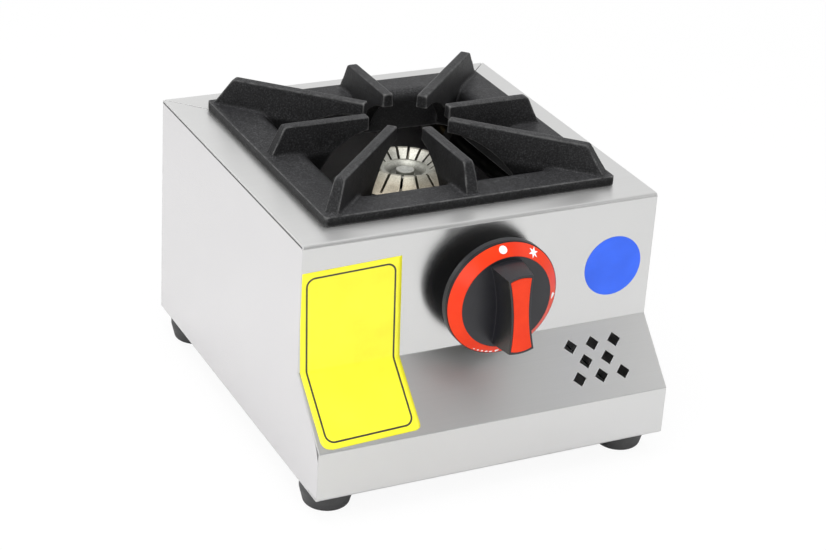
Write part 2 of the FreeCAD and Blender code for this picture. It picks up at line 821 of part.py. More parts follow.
def make_fin(name, reach, slant, wall_low, wall_top, arch_radius, arch_centre):
    """One rib along +X from the pan support's middle, drafted, with a slanted end and an arched underside."""
    fin = new_body(name)
    root = strip_high - strip_thick / 2
    foot = fin_foot_thick / 2
    crest = fin_top_thick / 2
    section = [
        (-foot, root), (foot, root), (crest, fin_high - fin_round, fin_round, True),
        (crest - fin_round, fin_high), (fin_round - crest, fin_high, fin_round, True),
        (-crest, fin_high - fin_round),
    ]
    pad(fin, outline(new_sketch(fin, "YZ_Plane", fin_tip), section), reach + slant - fin_tip)
    end = reach + slant
    steep = atan((fin_high - root) / slant)
    bend = fin_end_round * tan(steep / 2)
    above = fin_high + fin_round
    slope = [
        (reach - bend, fin_high, fin_end_round, False),
        (reach + bend * cos(steep), fin_high - bend * sin(steep)),
        (end, root), (end + fin_round, root), (end + fin_round, above), (reach - bend, above),
    ]
    pocket(fin, outline(new_sketch(fin, "XZ_Plane", -fin_foot_thick), slope), fin_foot_thick * 2, True)
    leg = [(fin_tip, root), (fin_tip, well_low), (wall_low, well_low), (wall_top, root)]
    pad(fin, outline(new_sketch(fin, "XZ_Plane", -fin_foot_thick / 2), leg), fin_foot_thick)
    span = arch_centre - fin_tip
    crown = fin_high - tip_tall - sqrt(arch_radius * arch_radius - span * span)
    arch = circle(new_sketch(fin, "XZ_Plane", -fin_foot_thick), arch_centre, crown, arch_radius * 2)
    pocket(fin, arch, fin_foot_thick * 2, True)
    return fin


def make_pan_support():
    """The cast pan support: tray with four ribs square to the sides and four on the diagonals."""
    half_wall = well_wall / 2
    diagonal = sqrt(as_size(2))
    tuck = well_corner * (diagonal - 1)
    side_fin = make_fin(
        "side_fin", side_fin_reach, side_fin_slant, well_low_wide / 2 + half_wall,
        well_top_wide / 2 + half_wall, side_arch_radius, side_arch_centre,
    )
    corner_fin = make_fin(
        "corner_fin", corner_fin_reach, corner_fin_slant, well_low_wide / 2 * diagonal - tuck + half_wall,
        well_top_wide / 2 * diagonal - tuck + half_wall, corner_arch_radius, corner_arch_centre,
    )
    pieces = [make_tray()]
    for turned_by in range(0, full_turn, right_angle):
        for fin, start in ((side_fin, 0), (corner_fin, right_angle / 2)):
            copy = compound(f"{fin.Name}_{turned_by}", [fin])
            copy.Placement = FreeCAD.Placement(Vector(), Rotation(Vector(0, 0, 1), start + turned_by))
            pieces.append(copy)
    return node(fuse("pan_support_cast", pieces), "pan_support", pan_side, pan_centre)


def make_burner_cap():
    """The slotted burner cap, drawn with its seat at Z = 0."""
    rim = cap_rim_wide / 2
    bowl = cap_tall - cap_bowl_deep
    dish = bowl - cap_dish_deep
    spigot = cap_spigot_wide / 2
    spigot_bore = spigot - cap_spigot_wall
    roof = cap_tall - cap_rim_flat - cap_wall
    cap = turned("burner_cap_body", [
        (0, dish + cap_boss_tall), (cap_boss_wide / 2, dish + cap_boss_tall), (cap_boss_wide / 2, dish),
        (cap_dish_floor / 2, dish), (cap_dish_wide / 2, bowl), (cap_bowl_wide / 2, bowl),
        (rim - cap_rim_flat, cap_tall), (rim, cap_tall), (cap_wide / 2, 0), (spigot, 0),
        (spigot, -cap_spigot_tall), (spigot_bore, -cap_spigot_tall), (spigot_bore, 0),
        (rim - cap_rim_flat, roof), (cap_bowl_wide / 2, bowl - cap_wall),
        (cap_dish_floor / 2, dish - cap_wall), (0, dish - cap_wall),
    ])
    slot = outline(new_sketch(cap, "XY_Plane", cap_tall * 2), rectangle(
        cap_bowl_wide / 2, cap_wide, -cap_slot_wide / 2, cap_slot_wide / 2))
    first = pocket(cap, slot, cap_tall * 2 - cap_slot_floor)
    ring = cap.newObject("PartDesign::PolarPattern", "burner_cap_slots")
    ring.Originals = [first]
    ring.Axis = (slot, ["N_Axis"])
    ring.Angle = full_turn
    bind(ring, "Occurrences", cap_slots)
    cap.Tip = ring
    cap.Placement = FreeCAD.Placement(Vector(), Rotation(Vector(0, 0, 1), cap_first_slot.value))
    bind(cap, "Placement.Rotation.Angle", cap_first_slot)
    return node(cap, "burner_cap", burner_side, burner_centre, cap_base + cap_seat)


def make_burner_body():
    """The cast cup under the cap with its mixing tube coming forward to the injector."""
    spigot = cap_spigot_wide / 2 + cap_seat
    bore = cup_wide / 2 - cup_wall
    seat = cap_base
    shoulder = seat - cap_spigot_tall - cap_seat * 2
    cup = turned("burner_cup", [
        (0, cup_low), (cup_wide / 2, cup_low), (cup_wide / 2, seat - cup_flange_tall * 2),
        (cap_wide / 2, seat - cup_flange_tall), (cap_wide / 2, seat), (spigot, seat), (spigot, shoulder),
        (bore, shoulder), (bore, cup_low + cup_wall), (0, cup_low + cup_wall),
    ])
    place(cup, burner_side, burner_centre)
    reach = burner_centre - cup_wide / 2 + cup_wall / 2
    axis = (knob_side, tube_mouth, valve_high)
    tube = cylinder_along("Y", "mixing_tube", tube_wide, reach - tube_mouth, *axis)
    bore_tool = cylinder_along("Y", "tube_bore_tool", tube_bore, burner_centre - tube_mouth, *axis)
    collar_start = shutter_start + shutter_long + seam_gap
    collar = cylinder_along("Y", "tube_collar", tube_collar_wide, reach - collar_start,
                            knob_side, collar_start, valve_high)
    tools = [bore_tool, make_window("tube_window", tube_wide)]
    for side in (-1, 1):
        x = burner_side + burner_bolt_step * side / 2
        tools.append(cylinder_along("Z", f"cup_bolt_hole_{side + 1}", burner_bolt + hole_play * 2,
                                    burner_bolt_deep + hole_play, x, burner_centre, cup_low))
    joined = fuse("burner_joined", [cup, tube, collar])
    return node(cut("burner_casting", joined, tools), "burner_body")


def make_window(name, diameter):
    """A block that cuts the two air windows, above and below, through a tube about the mixing axis."""
    start = shutter_start + (shutter_long - window_long) / 2
    return box(name, knob_side - window_wide / 2, knob_side + window_wide / 2, start, start + window_long,
               valve_high - diameter, valve_high + diameter)


def make_air_shutter():
    """The sleeve that turns on the mixing tube to open or shut its air windows."""
    inner = tube_wide / 2 + running_fit
    outer = inner + shutter_wall
    shutter_end = shutter_start + shutter_long
    sleeve = turned_along_y("shutter_sleeve", rectangle(inner, outer, shutter_start, shutter_end))
    place(sleeve, knob_side, 0, valve_high)
    return node(cut("shutter_cut", sleeve, [make_window("shutter_window", outer * 2)]), "air_shutter")


def make_bridge():
    """The bar that carries the burner from side panel to side panel, with a turned-down tab at each end."""
    edge = half - sheet_thick
    body = new_body("bridge_body")
    low = cup_low - bridge_thick
    profile = [
        (-edge, cup_low), (-edge, low - bridge_tab), (bridge_thick - edge, low - bridge_tab),
        (bridge_thick - edge, low), (edge - bridge_thick, low), (edge - bridge_thick, low - bridge_tab),
        (edge, low - bridge_tab), (edge, cup_low),
    ]
    pad(body, outline(new_sketch(body, "XZ_Plane", -(burner_centre + bridge_wide / 2)), profile), bridge_wide)
    holes = new_sketch(body, "XY_Plane", cup_low)
    for side in (-1, 1):
        circle(holes, burner_side + burner_bolt_step * side / 2, burner_centre, burner_bolt + hole_play * 2)
    pocket(body, holes, bridge_thick)
    return node(body, "burner_bridge")


def make_burner_bolts():
    low = cup_low - bridge_thick
    head = burner_bolt_head / 2
    shank = burner_bolt / 2
    bolts = []
    for side in (-1, 1):
        bolt = turned(f"burner_bolt_{side + 1}", [
            (0, low - burner_bolt_head_tall), (head, low - burner_bolt_head_tall), (head, low),
            (shank, low), (shank, cup_low + burner_bolt_deep), (0, cup_low + burner_bolt_deep),
        ])
        place(bolt, burner_side + burner_bolt_step * side / 2, burner_centre)
        bolts.append(bolt)
    return node(compound("burner_bolt_set", bolts), "burner_bolts")


def bonnet_bolt_tools(name, diameter, start, length):
    """Round bars where the two bonnet bolts go, above and below the valve's axis."""
    tools = []
    for side in (-1, 1):
        tools.append(cylinder_along("Y", f"{name}_{side + 1}", diameter, length, 0, start,
                                    bonnet_bolt_circle * side / 2))
    return tools


def make_bonnet():
    """The valve's cover with the threaded neck through the front panel, its bolts and the panel lock nut."""
    shaft = spindle_wide / 2 + running_fit
    bonnet = turned_along_y("bonnet_turned", [
        (shaft, -neck_long), (neck_wide / 2, -neck_long), (neck_wide / 2, sheet_thick),
        (valve_wide / 2, sheet_thick), (valve_wide / 2, bonnet_end), (shaft, bonnet_end),
    ])
    bolt_holes = bonnet_bolt_tools("bonnet_hole", bonnet_bolt + hole_play, sheet_thick, bonnet_thick)
    node(cut("bonnet_cut", bonnet, bolt_holes), "valve_bonnet", knob_side, 0, valve_high)
    bolts = bonnet_bolt_tools("bonnet_bolt", bonnet_bolt, sheet_thick, bonnet_bolt_deep)
    node(compound("bonnet_bolt_set", bolts), "valve_bolts", knob_side, 0, valve_high)
    nut = hex_prism("lock_nut_body", lock_nut_wide, neck_wide + hole_play, -lock_nut_tall, 0)
    node(nut, "valve_lock_nut", knob_side, 0, valve_high)


def make_barrel():
    """The valve's barrel: tapered seat for the plug, inlet boss to the right and outlet at the rear."""
    front = plug_front_wide / 2 + running_fit
    rear = plug_rear_wide / 2 + running_fit
    thread = (injector_thread + hole_play) / 2
    thread_end = outlet_end - injector_thread_long - hole_play
    barrel = turned_along_y("barrel_turned", [
        (front, bonnet_end), (valve_wide / 2, bonnet_end), (valve_wide / 2, barrel_end),
        (outlet_wide / 2, barrel_end), (outlet_wide / 2, outlet_end), (thread, outlet_end),
        (thread, thread_end), (plug_bore / 2, thread_end), (plug_bore / 2, cavity_end), (rear, cavity_end),
    ])
    boss_start = (plug_front_wide + valve_wide) / 4
    boss = cylinder_along("X", "inlet_boss", inlet_boss_wide, inlet_boss_reach - boss_start,
                          boss_start, inlet_depth, 0)
    inlet = cylinder_along("X", "inlet_bore_tool", inlet_bore, inlet_boss_reach, 0, inlet_depth, 0)
    bolt_holes = bonnet_bolt_tools("barrel_hole", bonnet_bolt + hole_play, bonnet_end,
                                   bonnet_bolt_deep - bonnet_thick + hole_play)
    cavity = turned_along_y("plug_cavity", [
        (0, bonnet_end), (front, bonnet_end), (rear, cavity_end), (0, cavity_end)])
    joined = fuse("barrel_joined", [barrel, boss])
    node(cut("barrel_cut", joined, [inlet, cavity] + bolt_holes), "valve_body", knob_side, 0, valve_high)


def make_plug():
    """The tapered plug with its gas port, and the flat that the spindle drives."""
    shaft = spindle_wide / 2 + running_fit
    bore_end = plug_start + plug_bore_deep - hole_play
    port_start = inlet_depth - plug_port / 2
    plug = turned_along_y("plug_turned", [
        (shaft, plug_start), (plug_front_wide / 2, plug_start), (plug_rear_wide / 2, plug_end),
        (plug_bore / 2, plug_end), (plug_bore / 2, port_start), (0, port_start), (0, bore_end),
        (shaft, bore_end),
    ])
    port = cylinder_along("Z", "plug_port_tool", plug_port, plug_front_wide, 0, inlet_depth, -plug_front_wide)
    key_start = plug_start + push_travel + push_spare
    key = box("plug_key", -spindle_wide / 2, spindle_wide / 2, key_start, bore_end,
              shaft - spindle_flat, shaft + hole_play)
    keyed = fuse("plug_keyed", [cut("plug_cut", plug, [port]), key])
    node(lean_knob(keyed), "valve_plug", knob_side, 0, valve_high)


def make_spindle():
    """The push and turn spindle with a flat for the knob and a flat for the plug."""
    shaft = spindle_wide / 2
    finish = plug_start + plug_bore_deep - hole_play * 2 - push_travel - push_spare
    start = knob_web - disc_front
    bar = turned_along_y("spindle_turned", rectangle(0, shaft, start, finish))
    flats = []
    for name, flat_from, flat_to in (
        ("grip_flat", start, start + spindle_flat_long),
        ("drive_flat", plug_start + hole_play, finish),
    ):
        flats.append(box("spindle_" + name, -spindle_wide, spindle_wide, flat_from, flat_to,
                         shaft - spindle_flat, spindle_wide))
    node(lean_knob(cut("spindle_cut", bar, flats)), "valve_spindle", knob_side, 0, valve_high)


def make_injector():
    """The brass jet screwed into the valve's outlet, pointing into the mixing tube."""
    start = outlet_end - injector_thread_long
    shoulder = outlet_end + injector_long
    tip = shoulder + injector_tip_long
    body = turned_along_y("injector_body", [
        (injector_jet / 2, shoulder), (plug_bore / 2, outlet_end), (plug_bore / 2, start),
        (injector_thread / 2, start), (injector_thread / 2, outlet_end), (injector_wide / 2, outlet_end),
        (injector_wide / 2, shoulder), (injector_tip_wide / 2, tip), (injector_jet / 2, tip),
    ])
    return node(body, "injector", knob_side, 0, valve_high)


def make_inlet_pipe():
    """The supply pipe from the valve's inlet boss to the hose nipple at the rear, with one bend."""
    pipe = new_body("inlet_pipe_body")
    way = new_sketch(pipe, "XY_Plane", valve_high)
    bend_x = pipe_side - pipe_bend
    bend_y = inlet_depth + pipe_bend
    first = Vector(pipe_start.value, inlet_depth.value, 0)
    second = Vector(bend_x.value, inlet_depth.value, 0)
    third = Vector(pipe_side.value, bend_y.value, 0)
    last = Vector(pipe_side.value, pipe_end.value, 0)
    way.addGeometry(Part.LineSegment(first, second))
    way.addGeometry(arc_between(second, third, pipe_bend.value, True))
    way.addGeometry(Part.LineSegment(third, last))
    for edge in (0, 1):
        way.addConstraint(Sketcher.Constraint("Coincident", edge, 2, edge + 1, 1))
    fix_point(way, 0, 1, pipe_start, inlet_depth)
    fix_point(way, 0, 2, bend_x, inlet_depth)
    fix_point(way, 2, 1, pipe_side, bend_y)
    fix_point(way, 2, 2, pipe_side, pipe_end)
    held = way.addConstraint(Sketcher.Constraint("Radius", 1, pipe_bend.value))
    way.setExpression(f"Constraints[{held}]", pipe_bend.text)
    ring = new_sketch(pipe, "YZ_Plane", pipe_start)
    circle(ring, inlet_depth, valve_high, pipe_wide)
    circle(ring, inlet_depth, valve_high, pipe_bore)
    sweep = pipe.newObject("PartDesign::AdditivePipe", "inlet_pipe_sweep")
    sweep.Profile = ring
    sweep.Spine = way
    node(pipe, "inlet_pipe")


def make_union_nuts():
    """One nut at each end of the supply pipe."""
    bore = pipe_wide + hole_play
    front_nut = hex_prism("union_nut_front", union_nut_wide, bore, 0, union_nut_long)
    front_nut.Placement = FreeCAD.Placement(Vector(), Rotation(Vector(0, 0, 1), -right_angle))
    place(front_nut, pipe_start, inlet_depth, valve_high)
    rear_nut = hex_prism("union_nut_rear", union_nut_wide, bore, -union_nut_long, 0)
    place(rear_nut, pipe_side, pipe_end, valve_high)
    node(compound("union_nut_set", [front_nut, rear_nut]), "union_nuts")


def make_nipple():
    """The barbed hose nipple through the rear panel and its lock nut."""
    bore = pipe_bore / 2
    tail = nipple_tail_wide / 2
    barb = tail + nipple_barb_rise
    profile = [(bore, pipe_end), (nipple_wide / 2, pipe_end), (nipple_wide / 2, hex_end)]
    for step in range(round(nipple_barbs.value)):
        start = hex_end + nipple_barb_long * step
        profile.append((tail, start))
        profile.append((barb, start + nipple_barb_long / 3))
    profile.append((tail, tail_end))
    profile.append((bore, tail_end))
    stem = turned_along_y("nipple_stem", profile)
    collar = hex_prism("nipple_collar", nipple_hex_wide, pipe_bore + nipple_barb_rise, body_deep, hex_end)
    node(fuse("nipple_joined", [stem, collar]), "hose_nipple", pipe_side, 0, valve_high)
    inner_face = body_deep - sheet_thick
    nut = hex_prism("nipple_nut_body", nipple_nut_wide, nipple_wide + hole_play,
                    inner_face - nipple_nut_tall, inner_face)
    node(nut, "nipple_lock_nut", pipe_side, 0, valve_high)


def lean_knob(thing):
    """Turns a piece of the knob or plug so that the off mark stands a little left of upright."""
    thing.Placement = FreeCAD.Placement(Vector(), Rotation(Vector(0, 1, 0), -knob_lean.value))
    bind(thing, "Placement.Rotation.Angle", -knob_lean)
    return thing


def bar_outline(length, wide, waist):
    """The waisted outline of the grip bar: hollow long sides and slightly bowed ends."""
    end = length / 2
    corner = end - grip_end_bow
    side = wide / 2
    sag = (wide - waist) / 2
    hollow = (corner * corner + sag * sag) / (sag * 2)
    bow = (side * side + grip_end_bow * grip_end_bow) / (grip_end_bow * 2)
    return [
        (-side, -corner, bow, True), (side, -corner, hollow, False),
        (side, corner, bow, True), (-side, corner, hollow, False),
    ]


def insert_outline(border):
    """The grip bar's front outline, smaller by a border all round."""
    return bar_outline(grip_top_long - border * 2, grip_top_wide - border * 2, grip_top_waist - border * 2)


def make_knob():
    """Knob body with rim, cone, disc, hub and grip bar; the ring on its cone and the insert in its bar."""
    rim_front = knob_clear + knob_rim_tall
    outer = knob_wide / 2
    disc = knob_disc_wide / 2
    slope = atan((outer - disc) / knob_disc_rise)
    sink = ring_thick / cos(slope)
    shaft = spindle_wide / 2 + hole_play / 2
    body = new_body("knob_body_body")
    hub_end = disc_front - knob_web
    profile = [
        (0, -disc_front), (disc, -disc_front), (disc, sink - disc_front), (outer, sink - rim_front),
        (outer, -knob_clear), (outer - knob_rim_wall, -knob_clear),
        (outer - knob_rim_wall, sink + knob_web - rim_front), (disc, sink + knob_web - disc_front),
        (hub_wide / 2, sink + knob_web - disc_front), (hub_wide / 2, -hub_back), (shaft, -hub_back),
        (shaft, -hub_end), (0, -hub_end),
    ]
    turn(body, outline(new_sketch(body, "XY_Plane"), profile))
    bar_foot = outline(new_sketch(body, "XZ_Plane", disc_front - knob_web / 2),
                       bar_outline(grip_foot_long, grip_foot_wide, grip_foot_waist))
    bar_top = outline(new_sketch(body, "XZ_Plane", disc_front + grip_rise),
                      bar_outline(grip_top_long, grip_top_wide, grip_top_waist))
    loft(body, "AdditiveLoft", bar_foot, bar_top)
    recess = insert_outline(insert_border)
    pocket(body, outline(new_sketch(body, "XZ_Plane", disc_front + grip_rise), recess), insert_deep)
    key = new_sketch(body, "XZ_Plane", hub_end)
    outline(key, rectangle(-shaft, shaft, shaft - spindle_flat, shaft))
    pad(body, key, spindle_flat_long - hole_play, True)
    node(lean_knob(body), "knob_body", knob_side, 0, valve_high)

    ring = turned_along_y("knob_ring_body", [
        (disc, -disc_front), (disc, sink - disc_front), (outer, sink - rim_front), (outer, -rim_front)])
    node(lean_knob(ring), "knob_ring", knob_side, 0, valve_high)

    insert = new_body("knob_insert_body")
    drawing = outline(new_sketch(insert, "XZ_Plane", disc_front + grip_rise - insert_deep),
                      insert_outline(insert_border + running_fit))
    pad(insert, drawing, insert_deep + insert_proud)
    node(lean_knob(insert), "knob_insert", knob_side, 0, valve_high)


def check_and_write():
    """Stops on any failed object or shape, then writes each sub-part to its own file."""
    doc.recompute()
    for thing in doc.Objects:
        if "Invalid" in thing.State or "Error" in thing.State:
            raise RuntimeError(f"{thing.Name} ({thing.Label}) failed: {thing.State}")
    for piece in nodes:
        if piece.Shape.isNull() or not piece.Shape.isValid():
            raise RuntimeError(f"{piece.Label} has no valid shape")
        if not piece.Shape.Solids:
            raise RuntimeError(f"{piece.Label} has no solid")
    os.makedirs("parts", exist_ok=True)
    for piece in nodes:
        piece.Shape.exportStep(f"parts/{piece.Label}.step")


def main():
    make_front_panel()
    make_side_panels()
    make_rear_panel()
    make_base_plate()
    make_feet()
    make_foot_fasteners()
    make_pan_support()
    make_burner_cap()
    make_burner_body()
    make_air_shutter()
    make_bridge()
    make_burner_bolts()
    make_bonnet()
    make_barrel()
    make_plug()
    make_spindle()
    make_injector()
    make_inlet_pipe()
    make_union_nuts()
    make_nipple()
    make_knob()
    check_and_write()


main()
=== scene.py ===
import math

import bmesh
import bpy
from mathutils import Matrix, Vector


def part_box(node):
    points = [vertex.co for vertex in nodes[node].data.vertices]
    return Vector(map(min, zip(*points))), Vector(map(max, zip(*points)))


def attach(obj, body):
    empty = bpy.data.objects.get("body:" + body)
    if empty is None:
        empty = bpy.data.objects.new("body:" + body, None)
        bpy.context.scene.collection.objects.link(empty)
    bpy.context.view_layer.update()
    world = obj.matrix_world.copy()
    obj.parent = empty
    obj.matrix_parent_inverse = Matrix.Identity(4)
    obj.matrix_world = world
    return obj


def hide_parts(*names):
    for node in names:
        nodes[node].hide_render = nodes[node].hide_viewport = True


# Looks of a single burner gas stove: brushed steel casing, black cast pan support, slotted burner,
# black and orange knob and rubber feet, on a pale floor in soft studio light.
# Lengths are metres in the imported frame.

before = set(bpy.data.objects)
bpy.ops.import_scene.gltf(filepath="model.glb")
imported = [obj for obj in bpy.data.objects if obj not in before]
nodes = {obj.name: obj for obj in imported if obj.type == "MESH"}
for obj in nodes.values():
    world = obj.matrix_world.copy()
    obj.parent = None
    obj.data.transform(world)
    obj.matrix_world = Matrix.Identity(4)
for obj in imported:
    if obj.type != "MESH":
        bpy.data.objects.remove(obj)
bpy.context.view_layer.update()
MM = 0.001
FULL_TURN = 2 * math.pi
WHITE = (1.0, 1.0, 1.0)
X_AXIS = (1, 0, 0)
Y_AXIS = (0, 1, 0)
LEVEL_PLANE = (1, 1, 0)
FRONT_PLANE = (1, 0, 1)

# Camera, fitted to the casing's edges in the photograph
CAMERA_PLACE = (-0.5288, -1.0387, 0.6474)
CAMERA_AZIMUTH = math.radians(-27.5658)
CAMERA_ELEVATION = math.radians(25.686)
CAMERA_ROLL = math.radians(3.8326)
CAMERA_LENS = 93.7133
CAMERA_SENSOR = 36.0
CAMERA_SHIFT = (-0.0095, -0.0248)
CAMERA_NEAR = 0.01

# Casing: the folds of its front panel and the room inside its sheets
SLOPE_OUT = 32 * MM
SLOPE_DROP = 33.5 * MM
FACE_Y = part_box("front_panel")[0].y + SLOPE_OUT
FOLD_Z = 78 * MM
SLOPE = math.atan2(SLOPE_OUT, SLOPE_DROP)
PANEL_LEFT = -110 * MM
INSIDE_LOW = (-109.4 * MM, FACE_Y + 0.6 * MM, 14.6 * MM)
INSIDE_HIGH = (109.4 * MM, FACE_Y + 217.4 * MM, 153.9 * MM)

# Knob: its axis, its lean at rest and the cone of its ring
KNOB_X = 4 * MM
KNOB_Z = 113.3 * MM
KNOB_LEAN = math.radians(5)
RING_INNER = 27.5 * MM
RING_OUTER = 34.3 * MM
RING_FRONT_Y = FACE_Y - 21.7 * MM
RING_BACK_Y = FACE_Y - 16 * MM

# Places of the Mix node's colour sockets
MIX_FACTOR = 0
MIX_FIRST = 6
MIX_SECOND = 7
MIX_RESULT = 2

# Spread of a noise's usual values, and its levels of detail
NOISE_LOW = 0.3
NOISE_HIGH = 0.7
SOFT = 3.0
MIDDLING = 4.0
FINE = 5.0
BEVEL_SAMPLES = 6


def node_tree(name):
    """A fresh material and its empty node tree."""
    material = bpy.data.materials.new(name)
    material.use_nodes = True
    tree = material.node_tree
    tree.nodes.clear()
    return material, tree


def add(tree, kind, inputs=None, **settings):
    """Adds one node, sets its properties and its inputs: a value, or a socket to link from."""
    made = tree.nodes.new(kind)
    for key, value in settings.items():
        setattr(made, key, value)
    for key, value in (inputs or {}).items():
        if isinstance(value, bpy.types.NodeSocket):
            tree.links.new(value, made.inputs[key])
        else:
            made.inputs[key].default_value = value
    return made


def opaque(colour):
    """A colour or a grey as red, green, blue and full cover; a socket stays as it is."""
    if isinstance(colour, bpy.types.NodeSocket):
        return colour
    if isinstance(colour, (int, float)):
        colour = (colour, colour, colour)
    return (*colour, 1.0)


def ramp(tree, factor, stops):
    """A colour ramp with (position, grey or colour) stops."""
    made = add(tree, "ShaderNodeValToRGB", {"Fac": factor})
    elements = made.color_ramp.elements
    while len(elements) < len(stops):
        elements.new(0.5)
    for element, (position, colour) in zip(elements, stops):
        element.position = position
        element.color = opaque(colour)
    return made.outputs["Color"]


def between(tree, factor, first, last, start=NOISE_LOW, end=NOISE_HIGH):
    """A ramp from one tone to another."""
    return ramp(tree, factor, [(start, first), (end, last)])


def operands(first, second):
    """Inputs of a node that works on one or two values."""
    return {0: first} if second is None else {0: first, 1: second}


def maths(tree, operation, first, second=None):
    return add(tree, "ShaderNodeMath", operands(first, second), operation=operation).outputs[0]


def vectors(tree, operation, first, second=None):
    return add(tree, "ShaderNodeVectorMath", operands(first, second), operation=operation).outputs["Vector"]


def length(tree, vector):
    return add(tree, "ShaderNodeVectorMath", {0: vector}, operation="LENGTH").outputs["Value"]


def blend(tree, factor, first, second, kind="MIX"):
    """Mixes two colours or greys."""
    inputs = {MIX_FACTOR: factor, MIX_FIRST: opaque(first), MIX_SECOND: opaque(second)}
    return add(tree, "ShaderNodeMix", inputs, data_type="RGBA", blend_type=kind).outputs[MIX_RESULT]


def multiply(tree, first, second):
    return blend(tree, 1.0, first, second, "MULTIPLY")


def axis_part(tree, vector, letter):
    return add(tree, "ShaderNodeSeparateXYZ", {0: vector}).outputs[letter]


def share(tree, value, low, high):
    """Where a value lies from low to high, as 0 to 1."""
    return add(tree, "ShaderNodeMapRange", {0: value, 1: low, 2: high}).outputs[0]


def object_place(tree):
    return add(tree, "ShaderNodeTexCoord").outputs["Object"]


def facing(tree, kind):
    """How far a surface faces upward, by one of the Geometry node's normals."""
    normal = add(tree, "ShaderNodeNewGeometry").outputs[kind]
    return axis_part(tree, normal, "Z")


def away_from(tree, place, centre, plane):
    """Distance from an axis through a centre, measured in the plane across it."""
    offset = vectors(tree, "SUBTRACT", place, centre)
    return length(tree, vectors(tree, "MULTIPLY", offset, plane))


def noise(tree, vector, scale, detail=MIDDLING, roughness=0.55):
    inputs = {"Vector": vector, "Scale": scale, "Detail": detail, "Roughness": roughness}
    return add(tree, "ShaderNodeTexNoise", inputs).outputs["Fac"]


def bump(tree, height, strength, distance, normal=None):
    inputs = {"Height": height, "Strength": strength, "Distance": distance}
    if normal is not None:
        inputs["Normal"] = normal
    return add(tree, "ShaderNodeBump", inputs).outputs["Normal"]


def rounded(tree, radius):
    """Normals that round off sharp edges by a small radius."""
    return add(tree, "ShaderNodeBevel", {"Radius": radius}, samples=BEVEL_SAMPLES).outputs["Normal"]


def principled(tree, inputs):
    """Ends a material in one shader with the given inputs."""
    shader = add(tree, "ShaderNodeBsdfPrincipled", inputs)
    add(tree, "ShaderNodeOutputMaterial", {"Surface": shader.outputs[0]})


# Painted shade on the metal inside the casing, and the painted shadow under the top sheet's cut edge
# Painted shade factors for sheets and for fittings inside the casing
SHEET_INSIDE_SHADE = 0.95
FITTING_INSIDE_SHADE = 0.10
SEAM_FROM = 152.5 * MM
SEAM_TO = 153.3 * MM
SEAM_DARK = 0.12


def inside_shade(tree, tone, inside_dark):
    """Darkens a tone inside the casing: painted shade for the dim inside of the box."""
    middle = tuple((low + high) / 2 for low, high in zip(INSIDE_LOW, INSIDE_HIGH))
    reach = tuple((high - low) / 2 for low, high in zip(INSIDE_LOW, INSIDE_HIGH))
    depth = vectors(tree, "ABSOLUTE", vectors(tree, "SUBTRACT", object_place(tree), middle))
    shares = vectors(tree, "DIVIDE", depth, reach)
    wider = maths(tree, "MAXIMUM", axis_part(tree, shares, "X"), axis_part(tree, shares, "Y"))
    widest = maths(tree, "MAXIMUM", wider, axis_part(tree, shares, "Z"))
    within = maths(tree, "LESS_THAN", widest, 1.0)
    return multiply(tree, tone, blend(tree, within, WHITE, inside_dark))


def seam_shade(tree, tone):
    """Darkens the side sheets' upper rim, which lies in shadow under the top sheet's cut edge."""
    height = axis_part(tree, object_place(tree), "Z")
    past = maths(tree, "GREATER_THAN", height, SEAM_FROM)
    short = maths(tree, "LESS_THAN", height, SEAM_TO)
    within = maths(tree, "MULTIPLY", past, short)
    return multiply(tree, tone, blend(tree, within, WHITE, SEAM_DARK))


# Brushed steel: streaks along the lay, and painted light and shade and gloss by how a sheet lies
STREAK_ALONG = 6.0
STREAK_ACROSS = 1900.0
STREAK_LIGHTER = 1.015
STREAK_DARKER = 0.98
STREAK_ROUGH = 0.04
STREAK_START = 0.25
STREAK_END = 0.75
STREAK_RELIEF = 0.02
STREAK_DEEP = 0.1 * MM
STEEL_EDGE = 0.6 * MM
CLOUD_SCALE = 14.0
CLOUD_DARK = (0.98, 0.98, 0.982)
# Painted light and shade: level sheet made lighter, upright and sloping sheet a little darker
UPRIGHT_PAINTED_SHADE = 0.94
SLOPE_PAINTED_SHADE = 0.94
LEVEL_PAINTED_LIGHT = 1.18
UPRIGHT_ROUGH = 0.22
SLOPE_ROUGH = 0.42
LEVEL_ROUGH = 0.40
UPRIGHT_AT = 0.0
NEARLY_UPRIGHT_AT = 0.2
SLOPE_FROM = 0.6
SLOPE_TO = 0.75
LEVEL_AT = 0.95
STEEL_STRETCH = 0.75
STEEL_STRETCH_TURN = 0.25
STEEL_FRONT = (0.635, 0.635, 0.63)
STEEL_SIDE = (0.695, 0.685, 0.69)


def steel_tone(tree, streak, upward, colour):
    """Streaked and faintly clouded steel, with painted light and shade by how the sheet lies."""
    light = tuple(min(1.0, part * STREAK_LIGHTER) for part in colour)
    dark = tuple(part * STREAK_DARKER for part in colour)
    cloud = noise(tree, object_place(tree), CLOUD_SCALE, SOFT)
    streaked = between(tree, streak, dark, light)
    clouded = multiply(tree, streaked, between(tree, cloud, CLOUD_DARK, WHITE))
    painted_light = ramp(tree, upward, [(UPRIGHT_AT, UPRIGHT_PAINTED_SHADE), (SLOPE_FROM, SLOPE_PAINTED_SHADE),
                                (SLOPE_TO, SLOPE_PAINTED_SHADE), (LEVEL_AT, LEVEL_PAINTED_LIGHT)])
    return inside_shade(tree, multiply(tree, clouded, painted_light), SHEET_INSIDE_SHADE)


